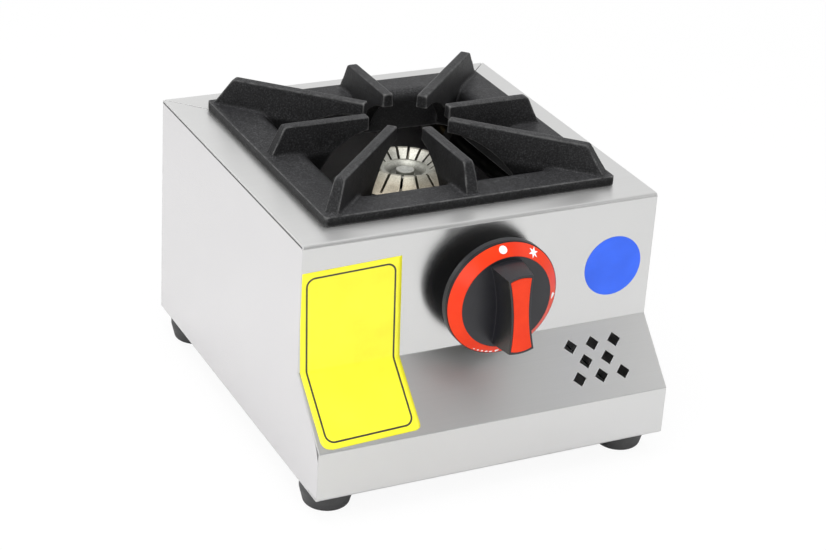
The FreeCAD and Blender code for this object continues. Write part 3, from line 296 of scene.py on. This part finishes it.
def brushed_steel(name, lay, colour, seamed=False):
    """Satin stainless sheet: fine streaks along its lay and a reflection drawn out across it."""
    material, tree = node_tree(name)
    along = add(tree, "ShaderNodeCombineXYZ", {"X": lay[0], "Y": lay[1], "Z": lay[2]}).outputs[0]
    grain = tuple(STREAK_ALONG if part else STREAK_ACROSS for part in lay)
    streak = noise(tree, vectors(tree, "MULTIPLY", object_place(tree), grain), 1.0, FINE)
    upward = facing(tree, "True Normal")
    tone = steel_tone(tree, streak, upward, colour)
    if seamed:
        tone = seam_shade(tree, tone)
    level = ramp(tree, upward, [(NEARLY_UPRIGHT_AT, UPRIGHT_ROUGH), (SLOPE_FROM, SLOPE_ROUGH),
                                (SLOPE_TO, SLOPE_ROUGH), (LEVEL_AT, LEVEL_ROUGH)])
    uneven = between(tree, streak, 0.0, STREAK_ROUGH, STREAK_START, STREAK_END)
    principled(tree, {
        "Base Color": tone, "Metallic": 1.0, "Roughness": maths(tree, "ADD", level, uneven),
        "Normal": bump(tree, streak, STREAK_RELIEF, STREAK_DEEP, rounded(tree, STEEL_EDGE)),
        "Anisotropic": STEEL_STRETCH, "Anisotropic Rotation": STEEL_STRETCH_TURN, "Tangent": along})
    return material


# Black cast iron: painted shade in the well, painted light on the strip and tops, edges lighter for wear
# and sheen
IRON_LOW = 157 * MM
IRON_STRIP = 160 * MM
IRON_HIGH = 163 * MM
IRON_STRIP_AT = (IRON_STRIP - IRON_LOW) / (IRON_HIGH - IRON_LOW)
IRON_STRIP_FROM = IRON_STRIP_AT - 0.05
IRON_STRIP_TO = IRON_STRIP_AT + 0.12
# Painted shade low in the well and painted light on the flat strip, by height
IRON_SHADE_AND_LIGHT = [(0.0, 0.36), (IRON_STRIP_FROM, 1.0), (IRON_STRIP_TO, 1.0), (1.0, 0.85)]
IRON_TONE = [(0.3, (0.016, 0.016, 0.017)), (0.75, (0.026, 0.026, 0.027))]
IRON_SAND = [(0.38, 0.5), (0.52, 0.9), (0.66, 2.0)]
# Edges made lighter, partly for rubbed wear and partly as a painted highlight
IRON_EDGE = [(0.515, 0.0), (0.56, 1.0)]
IRON_WEAR_AND_SHEEN_SPOTS = [(0.36, 0.3), (0.62, 1.0)]
# Painted light: faces turned upward made lighter
IRON_TOP_LIGHT = [(0.55, 1.0), (0.95, 1.9)]
IRON_ROUGH = [(0.3, 0.40), (0.75, 0.56)]
IRON_WEAR_AND_SHEEN = 0.14
IRON_GRAIN = 1100.0
IRON_LUMPS = 120.0
IRON_PATCHES = 30.0
IRON_WEAR_AND_SHEEN_SCALE = 240.0
IRON_GRAIN_RELIEF = 0.55
IRON_GRAIN_DEEP = 0.6 * MM
IRON_LUMP_RELIEF = 0.15
IRON_LUMP_DEEP = 2 * MM
IRON_EDGE_ROUND = 0.8 * MM
IRON_GLOSS = 0.14
SANDY = 0.7


def iron_tone(tree, place, grain):
    """Sandy black with painted light and shade, and edges lighter for wear and painted highlight."""
    patches = ramp(tree, noise(tree, place, IRON_PATCHES), IRON_TONE)
    above = share(tree, axis_part(tree, place, "Z"), IRON_LOW, IRON_HIGH)
    shade_and_light = multiply(tree, patches, ramp(tree, above, IRON_SHADE_AND_LIGHT))
    sandy = multiply(tree, shade_and_light, ramp(tree, grain, IRON_SAND))
    top_lit = multiply(tree, sandy, ramp(tree, facing(tree, "Normal"), IRON_TOP_LIGHT))
    edge = ramp(tree, add(tree, "ShaderNodeNewGeometry").outputs["Pointiness"], IRON_EDGE)
    wear_and_sheen = ramp(tree, noise(tree, place, IRON_WEAR_AND_SHEEN_SCALE), IRON_WEAR_AND_SHEEN_SPOTS)
    return blend(tree, maths(tree, "MULTIPLY", edge, wear_and_sheen), top_lit, IRON_WEAR_AND_SHEEN)


def black_cast(name):
    """Black cast iron: sandy grain, uneven gloss, and edges lighter for wear and painted highlight."""
    material, tree = node_tree(name)
    place = object_place(tree)
    grain = noise(tree, place, IRON_GRAIN, SOFT, SANDY)
    lumps = noise(tree, place, IRON_LUMPS, SOFT)
    fine = bump(tree, grain, IRON_GRAIN_RELIEF, IRON_GRAIN_DEEP, rounded(tree, IRON_EDGE_ROUND))
    principled(tree, {
        "Base Color": iron_tone(tree, place, grain), "Roughness": ramp(tree, grain, IRON_ROUGH),
        "Specular IOR Level": IRON_GLOSS,
        "Normal": bump(tree, lumps, IRON_LUMP_RELIEF, IRON_LUMP_DEEP, fine)})
    return material


# Machined fittings
FITTING_GRAIN = 1400.0
FITTING_PATCHES = 120.0
FITTING_RELIEF = 0.12
FITTING_DEEP = 0.2 * MM
FITTING_EDGE = 0.4 * MM
BRASS = {"dark": (0.62, 0.44, 0.18), "light": (0.76, 0.58, 0.28), "rough": (0.25, 0.4)}
ZINC = {"dark": (0.5, 0.5, 0.48), "light": (0.66, 0.66, 0.64), "rough": (0.3, 0.45)}


def bare_metal(name, dark, light, rough):
    """Machined bare metal with a fine grain and uneven tone, and painted shade inside the casing."""
    material, tree = node_tree(name)
    place = object_place(tree)
    grain = noise(tree, place, FITTING_GRAIN, FINE)
    patches = noise(tree, place, FITTING_PATCHES)
    tone = inside_shade(tree, between(tree, patches, dark, light), FITTING_INSIDE_SHADE)
    principled(tree, {
        "Base Color": tone, "Metallic": 1.0, "Roughness": between(tree, grain, *rough),
        "Normal": bump(tree, grain, FITTING_RELIEF, FITTING_DEEP, rounded(tree, FITTING_EDGE))})
    return material


# Burner cap, toned from its middle outward: boss, painted shade in the dish, rim and tan skirt
CAP_LOW, CAP_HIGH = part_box("burner_cap")
CAP_CENTRE = tuple((CAP_LOW + CAP_HIGH) / 2)
CAP_RADIUS = (CAP_HIGH.x - CAP_LOW.x) / 2
# Tan heat stain on the skirt; painted shade in the dish
CAP_STAIN_AND_SHADE = [
    (0.0, (0.62, 0.63, 0.59)), (0.14, (0.56, 0.56, 0.52)),
    (0.18, (0.16, 0.16, 0.14)), (0.26, (0.15, 0.15, 0.13)),
    (0.33, (0.50, 0.50, 0.45)), (0.55, (0.56, 0.55, 0.49)), (0.62, (0.50, 0.48, 0.41)),
    (0.80, (0.42, 0.38, 0.30)), (1.0, (0.36, 0.32, 0.25)),
]
CAP_SPECKLE = [(0.36, 0.62), (0.52, 0.95), (0.66, 1.15)]
CAP_CLOUD = (0.82, 1.08)
CAP_ROUGH = (0.36, 0.52)
CAP_GRAIN = 1500.0
CAP_PATCHES = 130.0
CAP_RELIEF = 0.2
CAP_DEEP = 0.3 * MM
CAP_EDGE = 0.4 * MM


def cast_cap(name):
    """Cast light metal of the burner cap: speckled, stained tan on its skirt, with painted shade in its
    dish.
    """
    material, tree = node_tree(name)
    place = object_place(tree)
    part = share(tree, away_from(tree, place, CAP_CENTRE, LEVEL_PLANE), 0.0, CAP_RADIUS)
    grain = noise(tree, place, CAP_GRAIN, MIDDLING, SANDY)
    patches = noise(tree, place, CAP_PATCHES)
    spotted = multiply(tree, ramp(tree, part, CAP_STAIN_AND_SHADE), ramp(tree, grain, CAP_SPECKLE))
    principled(tree, {
        "Base Color": multiply(tree, spotted, between(tree, patches, *CAP_CLOUD)), "Metallic": 1.0,
        "Roughness": between(tree, grain, *CAP_ROUGH),
        "Normal": bump(tree, grain, CAP_RELIEF, CAP_DEEP, rounded(tree, CAP_EDGE))})
    return material


# Plastic, rubber and printed film
MOULDED_PATCHES = 60.0
MOULDED_DEEP = 0.2 * MM
MOULDED_EDGE = 0.5 * MM
RING_PAINT_TO = 33.8 * MM
RING_BORDER = (0.009, 0.009, 0.011)
RUBBER = {"dark": (0.031, 0.031, 0.032), "light": (0.052, 0.052, 0.053), "rough": (0.5, 0.68),
          "grain_size": 1200.0, "relief": 0.2}
KNOB_BLACK = {"dark": (0.007, 0.007, 0.010), "light": (0.011, 0.011, 0.015), "rough": (0.30, 0.42),
              "grain_size": 1800.0, "relief": 0.08}
KNOB_ORANGE = {"dark": (0.72, 0.030, 0.003), "light": (0.82, 0.044, 0.005), "rough": (0.30, 0.40),
               "grain_size": 1800.0, "relief": 0.05, "gloss": 0.22, "bordered": True}
FILM = {"rough": (0.32, 0.42), "grain_size": 2500.0, "relief": 0.03}
MARK_WHITE = {"dark": (0.82, 0.82, 0.82), "light": (0.92, 0.92, 0.92)}
BADGE_BLUE = {"dark": (0.012, 0.105, 0.78), "light": (0.018, 0.125, 0.88)}


def ring_border(tree, tone):
    """Turns a tone black beyond the knob ring's painted width."""
    away = away_from(tree, object_place(tree), (KNOB_X, 0, KNOB_Z), FRONT_PLANE)
    return blend(tree, maths(tree, "GREATER_THAN", away, RING_PAINT_TO), tone, RING_BORDER)


def moulded(name, dark, light, rough, grain_size, relief, gloss=0.5, bordered=False):
    """Moulded plastic or rubber: slight mottling, fine surface grain, and a black border where asked."""
    material, tree = node_tree(name)
    place = object_place(tree)
    grain = noise(tree, place, grain_size, FINE)
    tone = between(tree, noise(tree, place, MOULDED_PATCHES, SOFT), dark, light)
    if bordered:
        tone = ring_border(tree, tone)
    principled(tree, {
        "Base Color": tone, "Roughness": between(tree, grain, *rough), "Specular IOR Level": gloss,
        "Normal": bump(tree, grain, relief, MOULDED_DEEP, rounded(tree, MOULDED_EDGE))})
    return material


def paint_nodes(material, names):
    for name in names:
        slots = nodes[name].data.materials
        slots.clear()
        slots.append(material)


def dress_frame():
    """Gives every piece of the frame its material."""
    paint_nodes(brushed_steel("steel_front", X_AXIS, STEEL_FRONT),
                ["front_panel", "rear_panel", "burner_bridge"])
    paint_nodes(brushed_steel("steel_side", Y_AXIS, STEEL_SIDE, True),
                ["left_side_panel", "right_side_panel", "base_plate"])
    paint_nodes(black_cast("black_cast_iron"), ["pan_support", "burner_body"])
    paint_nodes(cast_cap("burner_metal"), ["burner_cap"])
    paint_nodes(bare_metal("brass", **BRASS),
                ["valve_bonnet", "valve_body", "valve_plug", "valve_spindle", "injector", "hose_nipple"])
    paint_nodes(bare_metal("zinc", **ZINC),
                ["foot_bolts", "foot_nuts", "burner_bolts", "valve_bolts", "valve_lock_nut",
                 "nipple_lock_nut", "union_nuts", "inlet_pipe", "air_shutter"])
    paint_nodes(moulded("rubber", **RUBBER),
                ["foot_front_left", "foot_front_right", "foot_rear_left", "foot_rear_right"])
    paint_nodes(moulded("knob_black", **KNOB_BLACK), ["knob_body"])
    paint_nodes(moulded("knob_orange", **KNOB_ORANGE), ["knob_ring", "knob_insert"])


# Pan support, rounded as a sand casting
CAST_VOXEL = 0.7 * MM
CAST_PASSES = 2
CAST_SOFTENING = 0.5
WELD = 0.01 * MM


def welded(mesh):
    """A copy of a mesh with its coinciding corners joined."""
    copy = mesh.copy()
    edit = bmesh.new()
    edit.from_mesh(copy)
    bmesh.ops.remove_doubles(edit, verts=edit.verts, dist=WELD)
    edit.to_mesh(copy)
    edit.free()
    return copy


def link(piece):
    bpy.context.scene.collection.objects.link(piece)


def softened(mesh, name):
    """A mesh remade from small voxels and smoothed, which rounds its edges and inner corners."""
    draft = bpy.data.objects.new(name, mesh)
    link(draft)
    remesh = draft.modifiers.new("voxels", "REMESH")
    remesh.mode = "VOXEL"
    remesh.voxel_size = CAST_VOXEL
    soften = draft.modifiers.new("soften", "SMOOTH")
    soften.factor = CAST_SOFTENING
    soften.iterations = CAST_PASSES
    ready = draft.evaluated_get(bpy.context.evaluated_depsgraph_get())
    shape = bpy.data.meshes.new_from_object(ready)
    bpy.data.objects.remove(draft)
    return shape


def cast_shell(node, body):
    """A copy of a cast node with its edges and inner corners rounded as a sand casting's are."""
    shape = softened(welded(nodes[node].data), node + "_draft")
    piece = bpy.data.objects.new(node + "_shell", shape)
    link(piece)
    shape.shade_smooth()
    shape.materials.clear()
    shape.materials.append(nodes[node].data.materials[0])
    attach(piece, body)
    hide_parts(node)
    return piece


def mesh_piece(name, vertices, faces, material, body):
    mesh = bpy.data.meshes.new(name)
    mesh.from_pydata(vertices, [], faces)
    mesh.update()
    piece = bpy.data.objects.new(name, mesh)
    link(piece)
    mesh.materials.append(material)
    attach(piece, body)
    return piece


# Knob marks, drawn flat on the ring's cone; angles run clockwise from the top of the leaning knob
MARK_LIFT = 0.12 * MM
OFF_ANGLE = math.radians(-1)
OFF_RADIUS = 2.4 * MM
OFF_OUTWARD = 0.3 * MM
SPARK_ANGLE = math.radians(36)
SPARK_OUTER = 3.6 * MM
SPARK_INNER = 1.5 * MM
SPARK_POINTS = 6
FULL_ANGLE = math.radians(99)
FULL_TALL = 4.8 * MM
LOW_ANGLE = math.radians(188)
LOW_TALL = 3.2 * MM
LOW_OUTWARD = 1.5 * MM
STEP_MARKS = 5
STEP_FIRST = math.radians(194)
STEP_APART = math.radians(5)
STEP_RADIUS = 1.0 * MM
STEP_SHRINK = 0.12 * MM
STEP_OUTWARD = 2.2 * MM
FLAME_TIP = 0.06
FLAME_SWELL = 0.36
FLAME_WIDEN = 1.4


def on_ring(angle, across, along):
    """A point of the ring's cone at an angle from its own top, moved across and outward along the cone."""
    rise = RING_OUTER - RING_INNER
    run = RING_BACK_Y - RING_FRONT_Y
    part = 0.5 + along / math.hypot(rise, run)
    radius = RING_INNER + rise * part
    depth = RING_FRONT_Y + run * part
    turn = angle - KNOB_LEAN + across / radius
    normal = Vector((run, -rise)).normalized()
    radius += normal.x * MARK_LIFT
    depth += normal.y * MARK_LIFT
    return (KNOB_X + radius * math.sin(turn), depth, KNOB_Z + radius * math.cos(turn))


def ring_mark(name, angle, outline, material, outward=0.0):
    """A flat mark on the ring, from an outline of (across, along) points about its middle."""
    middle = [on_ring(angle, 0, outward)]
    edge = [on_ring(angle, across, along + outward) for across, along in outline]
    count = len(edge)
    faces = [(0, 1 + index, 1 + (index + 1) % count) for index in range(count)]
    return mesh_piece(name, middle + edge, faces, material, "knob")


def round_outline(radius, count=24):
    turns = [FULL_TURN * step / count for step in range(count)]
    return [(radius * math.sin(turn), radius * math.cos(turn)) for turn in turns]


def star_outline(outer, inner, points):
    outline = []
    for step in range(points * 2):
        radius = outer if step % 2 == 0 else inner
        turn = math.pi * step / points
        outline.append((radius * math.sin(turn), radius * math.cos(turn)))
    return outline


def flame_outline(height, count=20):
    """A drop with a pointed tip."""
    outline = []
    for step in range(count):
        turn = FULL_TURN * step / count
        swell = FLAME_SWELL * (1 - math.cos(turn)) / 2 + FLAME_TIP
        outline.append((height * swell * math.sin(turn) * FLAME_WIDEN, height / 2 * math.cos(turn)))
    return outline


def make_knob_marks():
    white = moulded("mark_white", **MARK_WHITE, **FILM)
    ring_mark("mark_off", OFF_ANGLE, round_outline(OFF_RADIUS), white, OFF_OUTWARD)
    ring_mark("mark_spark", SPARK_ANGLE, star_outline(SPARK_OUTER, SPARK_INNER, SPARK_POINTS), white)
    ring_mark("mark_full_flame", FULL_ANGLE, flame_outline(FULL_TALL), white)
    ring_mark("mark_low_flame", LOW_ANGLE, flame_outline(LOW_TALL), white, LOW_OUTWARD)
    for step in range(STEP_MARKS):
        dot = round_outline(STEP_RADIUS - STEP_SHRINK * step)
        ring_mark(f"mark_step_{step + 1}", STEP_FIRST + STEP_APART * step, dot, white, STEP_OUTWARD)


# Blank films on the front panel
FILM_OFF = 0.02 * MM
FILM_THICK = 0.16 * MM
LABEL_LEFT = -109.3 * MM
LABEL_RIGHT = -49.3 * MM
LABEL_TOP_Z = 139.4 * MM
LABEL_ON_SLOPE = 44 * MM
LABEL_LEAN = math.radians(2.0)
LABEL_BEND = 4 * MM
LABEL_ROUND_LEFT = 6 * MM
LABEL_ROUND_RIGHT = 3 * MM
LABEL_ROWS = 96
LABEL_COLUMNS = 24
LABEL_FRAME_INSET = 3.8 * MM
LABEL_FRAME_WIDE = 1.1 * MM
LABEL_FRAME_CORNER = 5 * MM
LABEL_YELLOW = ((0.86, 0.80, 0.02), (0.95, 0.90, 0.03))
LABEL_INK = (0.03, 0.03, 0.02)
LABEL_ROUGH = (0.34, 0.46)
LABEL_MOTTLE = 50.0
LABEL_GRAIN = 1800.0
LABEL_RIPPLE = 220.0
LABEL_RIPPLE_RELIEF = 0.05
LABEL_RIPPLE_DEEP = 0.5 * MM
BADGE_X = 84.7 * MM
BADGE_Z = 112.6 * MM
BADGE_RADIUS = 18.5 * MM
BADGE_POINTS = 72
BADGE_EDGE = FILM_THICK * 0.6
BADGE_RINGS = ((0.5, FILM_THICK), (0.985, FILM_THICK), (1.0, BADGE_EDGE), (1.0, FILM_OFF))

# The label's bend at the fold: from the fold to where it starts, and its length along the sheet
BEND_FROM_FOLD = LABEL_BEND * math.tan(SLOPE / 2)
BEND_LONG = LABEL_BEND * SLOPE


def label_place(down):
    """Depth and height of the label at a distance below its top edge, and the way it faces there."""
    upright = LABEL_TOP_Z - FOLD_Z - BEND_FROM_FOLD
    if down <= upright:
        return FACE_Y, LABEL_TOP_Z - down, 0.0
    if down <= upright + BEND_LONG:
        turn = (down - upright) / LABEL_BEND
        y = FACE_Y - LABEL_BEND * (1 - math.cos(turn))
        z = FOLD_Z + BEND_FROM_FOLD - LABEL_BEND * math.sin(turn)
        return y, z, turn
    run = BEND_FROM_FOLD + down - upright - BEND_LONG
    return FACE_Y - run * math.sin(SLOPE), FOLD_Z - run * math.cos(SLOPE), SLOPE


def frame_line(tree, wide, tall):
    """1 on a thin line round the label, with rounded corners, from the label's own flat coordinates."""
    flat = add(tree, "ShaderNodeUVMap", uv_map="flat").outputs["UV"]
    folded = vectors(tree, "ABSOLUTE", vectors(tree, "SUBTRACT", flat, (wide / 2, tall / 2, 0)))
    inset = LABEL_FRAME_INSET + LABEL_FRAME_CORNER
    past = vectors(tree, "SUBTRACT", folded, (wide / 2 - inset, tall / 2 - inset, 0))
    clipped = vectors(tree, "MAXIMUM", past, (0, 0, 0))
    off = maths(tree, "SUBTRACT", length(tree, clipped), LABEL_FRAME_CORNER)
    return maths(tree, "LESS_THAN", maths(tree, "ABSOLUTE", off), LABEL_FRAME_WIDE / 2)


def label_material(wide, tall):
    """Yellow film with one thin dark line round it."""
    material, tree = node_tree("label_yellow")
    place = object_place(tree)
    mottle = between(tree, noise(tree, place, LABEL_MOTTLE, SOFT), *LABEL_YELLOW)
    ripple = noise(tree, place, LABEL_RIPPLE, SOFT)
    principled(tree, {
        "Base Color": blend(tree, frame_line(tree, wide, tall), mottle, LABEL_INK),
        "Roughness": between(tree, noise(tree, place, LABEL_GRAIN), *LABEL_ROUGH),
        "Normal": bump(tree, ripple, LABEL_RIPPLE_RELIEF, LABEL_RIPPLE_DEEP)})
    return material


def label_trim(low, radius):
    """How far a rounded lower corner cuts into the label at a height above its lower edge."""
    if low >= radius:
        return 0.0
    return radius - math.sqrt(radius ** 2 - (radius - low) ** 2)


def label_sheet(wide, tall):
    """The label's points as laid on the panel, leaning a little and cut off at the panel's edge.

    Each point is its X and its distance below the top edge; the flat places go with them.
    """
    lean = Matrix.Rotation(LABEL_LEAN, 2)
    centre = Vector((wide / 2, tall / 2))
    points = []
    flats = []
    for row in range(LABEL_ROWS + 1):
        low = tall * (1 - row / LABEL_ROWS)
        left = label_trim(low, LABEL_ROUND_LEFT)
        right = wide - label_trim(low, LABEL_ROUND_RIGHT)
        for column in range(LABEL_COLUMNS + 1):
            flat = Vector((left + (right - left) * column / LABEL_COLUMNS, low))
            laid = lean @ (flat - centre) + centre
            laid.x = max(laid.x, PANEL_LEFT - LABEL_LEFT)
            points.append((LABEL_LEFT + laid.x, tall - laid.y))
            flats.append(lean.transposed() @ (laid - centre) + centre)
    return points, flats


def label_faces(sheet):
    """Faces of the label's back, front and rim, where the front's points follow the back's."""
    step = LABEL_COLUMNS + 1
    faces = []
    for row in range(LABEL_ROWS):
        for column in range(LABEL_COLUMNS):
            first = row * step + column
            below = first + step
            faces.append((first, first + 1, below + 1, below))
            faces.append(tuple(sheet + spot for spot in (first, below, below + 1, first + 1)))
    rim = list(range(LABEL_COLUMNS))
    rim += [row * step + LABEL_COLUMNS for row in range(LABEL_ROWS)]
    rim += [LABEL_ROWS * step + column for column in range(LABEL_COLUMNS, 0, -1)]
    rim += [row * step for row in range(LABEL_ROWS, 0, -1)]
    for index, first in enumerate(rim):
        second = rim[(index + 1) % len(rim)]
        faces.append((first, first + sheet, second + sheet, second))
    return faces


def make_label():
    """The blank yellow label that follows the front panel over its upper fold."""
    tall = LABEL_TOP_Z - FOLD_Z + LABEL_ON_SLOPE - 2 * BEND_FROM_FOLD + BEND_LONG
    wide = LABEL_RIGHT - LABEL_LEFT
    points, flats = label_sheet(wide, tall)
    vertices = []
    for layer in (FILM_OFF, FILM_THICK):
        for x, down in points:
            y, z, turn = label_place(down)
            vertices.append((x, y - layer * math.cos(turn), z + layer * math.sin(turn)))
    sheet = len(points)
    yellow = label_material(wide, tall)
    piece = mesh_piece("label_plain", vertices, label_faces(sheet), yellow, "casing")
    layer = piece.data.uv_layers.new(name="flat")
    for loop in piece.data.loops:
        layer.data[loop.index].uv = flats[loop.vertex_index % sheet]
    piece.data.shade_smooth()
    return piece


def make_badge():
    """The blank round blue label on the upright face, from its middle out and over its rounded edge."""
    blue = moulded("badge_blue", **BADGE_BLUE, **FILM)
    vertices = [(BADGE_X, FACE_Y - FILM_THICK, BADGE_Z)]
    for part, lift in BADGE_RINGS:
        for across, up in round_outline(BADGE_RADIUS * part, BADGE_POINTS):
            vertices.append((BADGE_X + across, FACE_Y - lift, BADGE_Z + up))
    faces = [(0, 1 + (step + 1) % BADGE_POINTS, 1 + step) for step in range(BADGE_POINTS)]
    for ring in range(len(BADGE_RINGS) - 1):
        base = 1 + ring * BADGE_POINTS
        for step in range(BADGE_POINTS):
            after = (step + 1) % BADGE_POINTS
            inner = (base + step, base + after)
            outer = (base + BADGE_POINTS + after, base + BADGE_POINTS + step)
            faces.append(inner + outer)
    return mesh_piece("badge_plain", vertices, faces, blue, "casing")


# Floor, room and lamps
FLOOR_TONE = ((0.90, 0.90, 0.90), (0.93, 0.93, 0.93))
FLOOR_CLOUD = 3.0
FLOOR_CLOUD_DETAIL = 2.0
FLOOR_GLOW = 0.92
FLOOR_REACH = 6.0
ROOM = [(0.0, 0.51), (0.3, 0.52), (0.6, 0.82), (0.9, 0.97)]
STOVE_MIDDLE = (0, 0, 0.1)
STOVE_FRONT = (0, -0.1, 0.1)
LAMPS = [
    {"name": "soft_top", "place": (-0.3, -0.2, 1.6), "target": STOVE_MIDDLE,
     "size": (1.4, 1.0), "power": 12},
    {"name": "soft_left", "place": (-1.3, -1.2, 0.9), "target": STOVE_FRONT,
     "size": (1.2, 1.0), "power": 15},
    {"name": "soft_right", "place": (1.5, -1.0, 1.0), "target": STOVE_MIDDLE,
     "size": (1.0, 1.0), "power": 6},
]


def camera_ray(tree):
    return add(tree, "ShaderNodeLightPath").outputs["Is Camera Ray"]


def floor_material():
    """Pale floor that the camera sees as nearly white."""
    material, tree = node_tree("floor_pale")
    cloud = noise(tree, object_place(tree), FLOOR_CLOUD, FLOOR_CLOUD_DETAIL)
    plain = add(tree, "ShaderNodeBsdfDiffuse", {"Color": between(tree, cloud, *FLOOR_TONE)}).outputs[0]
    glow = add(tree, "ShaderNodeEmission", {"Color": opaque(WHITE), "Strength": 1.0}).outputs[0]
    lit = add(tree, "ShaderNodeMixShader", {0: FLOOR_GLOW, 1: plain, 2: glow}).outputs[0]
    shader = add(tree, "ShaderNodeMixShader", {0: camera_ray(tree), 1: plain, 2: lit})
    add(tree, "ShaderNodeOutputMaterial", {"Surface": shader.outputs[0]})
    return material


def make_floor():
    mesh = bpy.data.meshes.new("floor")
    corners = [(-FLOOR_REACH, -FLOOR_REACH, 0), (FLOOR_REACH, -FLOOR_REACH, 0),
               (FLOOR_REACH, FLOOR_REACH, 0), (-FLOOR_REACH, FLOOR_REACH, 0)]
    mesh.from_pydata(corners, [], [(0, 1, 2, 3)])
    mesh.materials.append(floor_material())
    floor = bpy.data.objects.new("floor", mesh)
    link(floor)


def make_world():
    """Soft room light, dimmer in front of the stove than behind it; the camera sees plain white."""
    world = bpy.data.worlds.new("studio")
    bpy.context.scene.world = world
    world.use_nodes = True
    tree = world.node_tree
    tree.nodes.clear()
    way = add(tree, "ShaderNodeTexCoord").outputs["Generated"]
    back = share(tree, axis_part(tree, way, "Y"), -1.0, 1.0)
    room = ramp(tree, back, ROOM)
    studio = add(tree, "ShaderNodeBackground", {"Color": room, "Strength": 1.0}).outputs[0]
    white = add(tree, "ShaderNodeBackground", {"Color": opaque(WHITE), "Strength": 1.0}).outputs[0]
    mixed = add(tree, "ShaderNodeMixShader", {0: camera_ray(tree), 1: studio, 2: white})
    add(tree, "ShaderNodeOutputWorld", {"Surface": mixed.outputs[0]})


def area_light(name, place, target, size, power):
    lamp = bpy.data.lights.new(name, "AREA")
    lamp.shape = "RECTANGLE"
    lamp.size, lamp.size_y = size
    lamp.energy = power
    holder = bpy.data.objects.new(name, lamp)
    link(holder)
    holder.location = place
    holder.rotation_euler = (Vector(target) - Vector(place)).to_track_quat("-Z", "Y").to_euler()


def make_lights():
    for lamp in LAMPS:
        area_light(**lamp)


def make_camera():
    lens = bpy.data.cameras.new("camera")
    lens.sensor_fit = "HORIZONTAL"
    lens.sensor_width = CAMERA_SENSOR
    lens.lens = CAMERA_LENS
    lens.shift_x, lens.shift_y = CAMERA_SHIFT
    lens.clip_start = CAMERA_NEAR
    holder = bpy.data.objects.new("camera", lens)
    link(holder)
    back = Vector((math.sin(CAMERA_AZIMUTH) * math.cos(CAMERA_ELEVATION),
                   -math.cos(CAMERA_AZIMUTH) * math.cos(CAMERA_ELEVATION), math.sin(CAMERA_ELEVATION)))
    level = Vector((math.cos(CAMERA_AZIMUTH), math.sin(CAMERA_AZIMUTH), 0))
    upright = back.cross(level)
    right = level * math.cos(CAMERA_ROLL) + upright * math.sin(CAMERA_ROLL)
    upward = back.cross(right)
    turn = Matrix((right, upward, back)).transposed()
    holder.matrix_world = Matrix.Translation(CAMERA_PLACE) @ turn.to_4x4()
    bpy.context.scene.camera = holder


bpy.context.scene.view_settings.view_transform = "Standard"
dress_frame()
cast_shell("pan_support", "pan")
make_knob_marks()
make_label()
make_badge()
make_floor()
make_world()
make_lights()
make_camera()
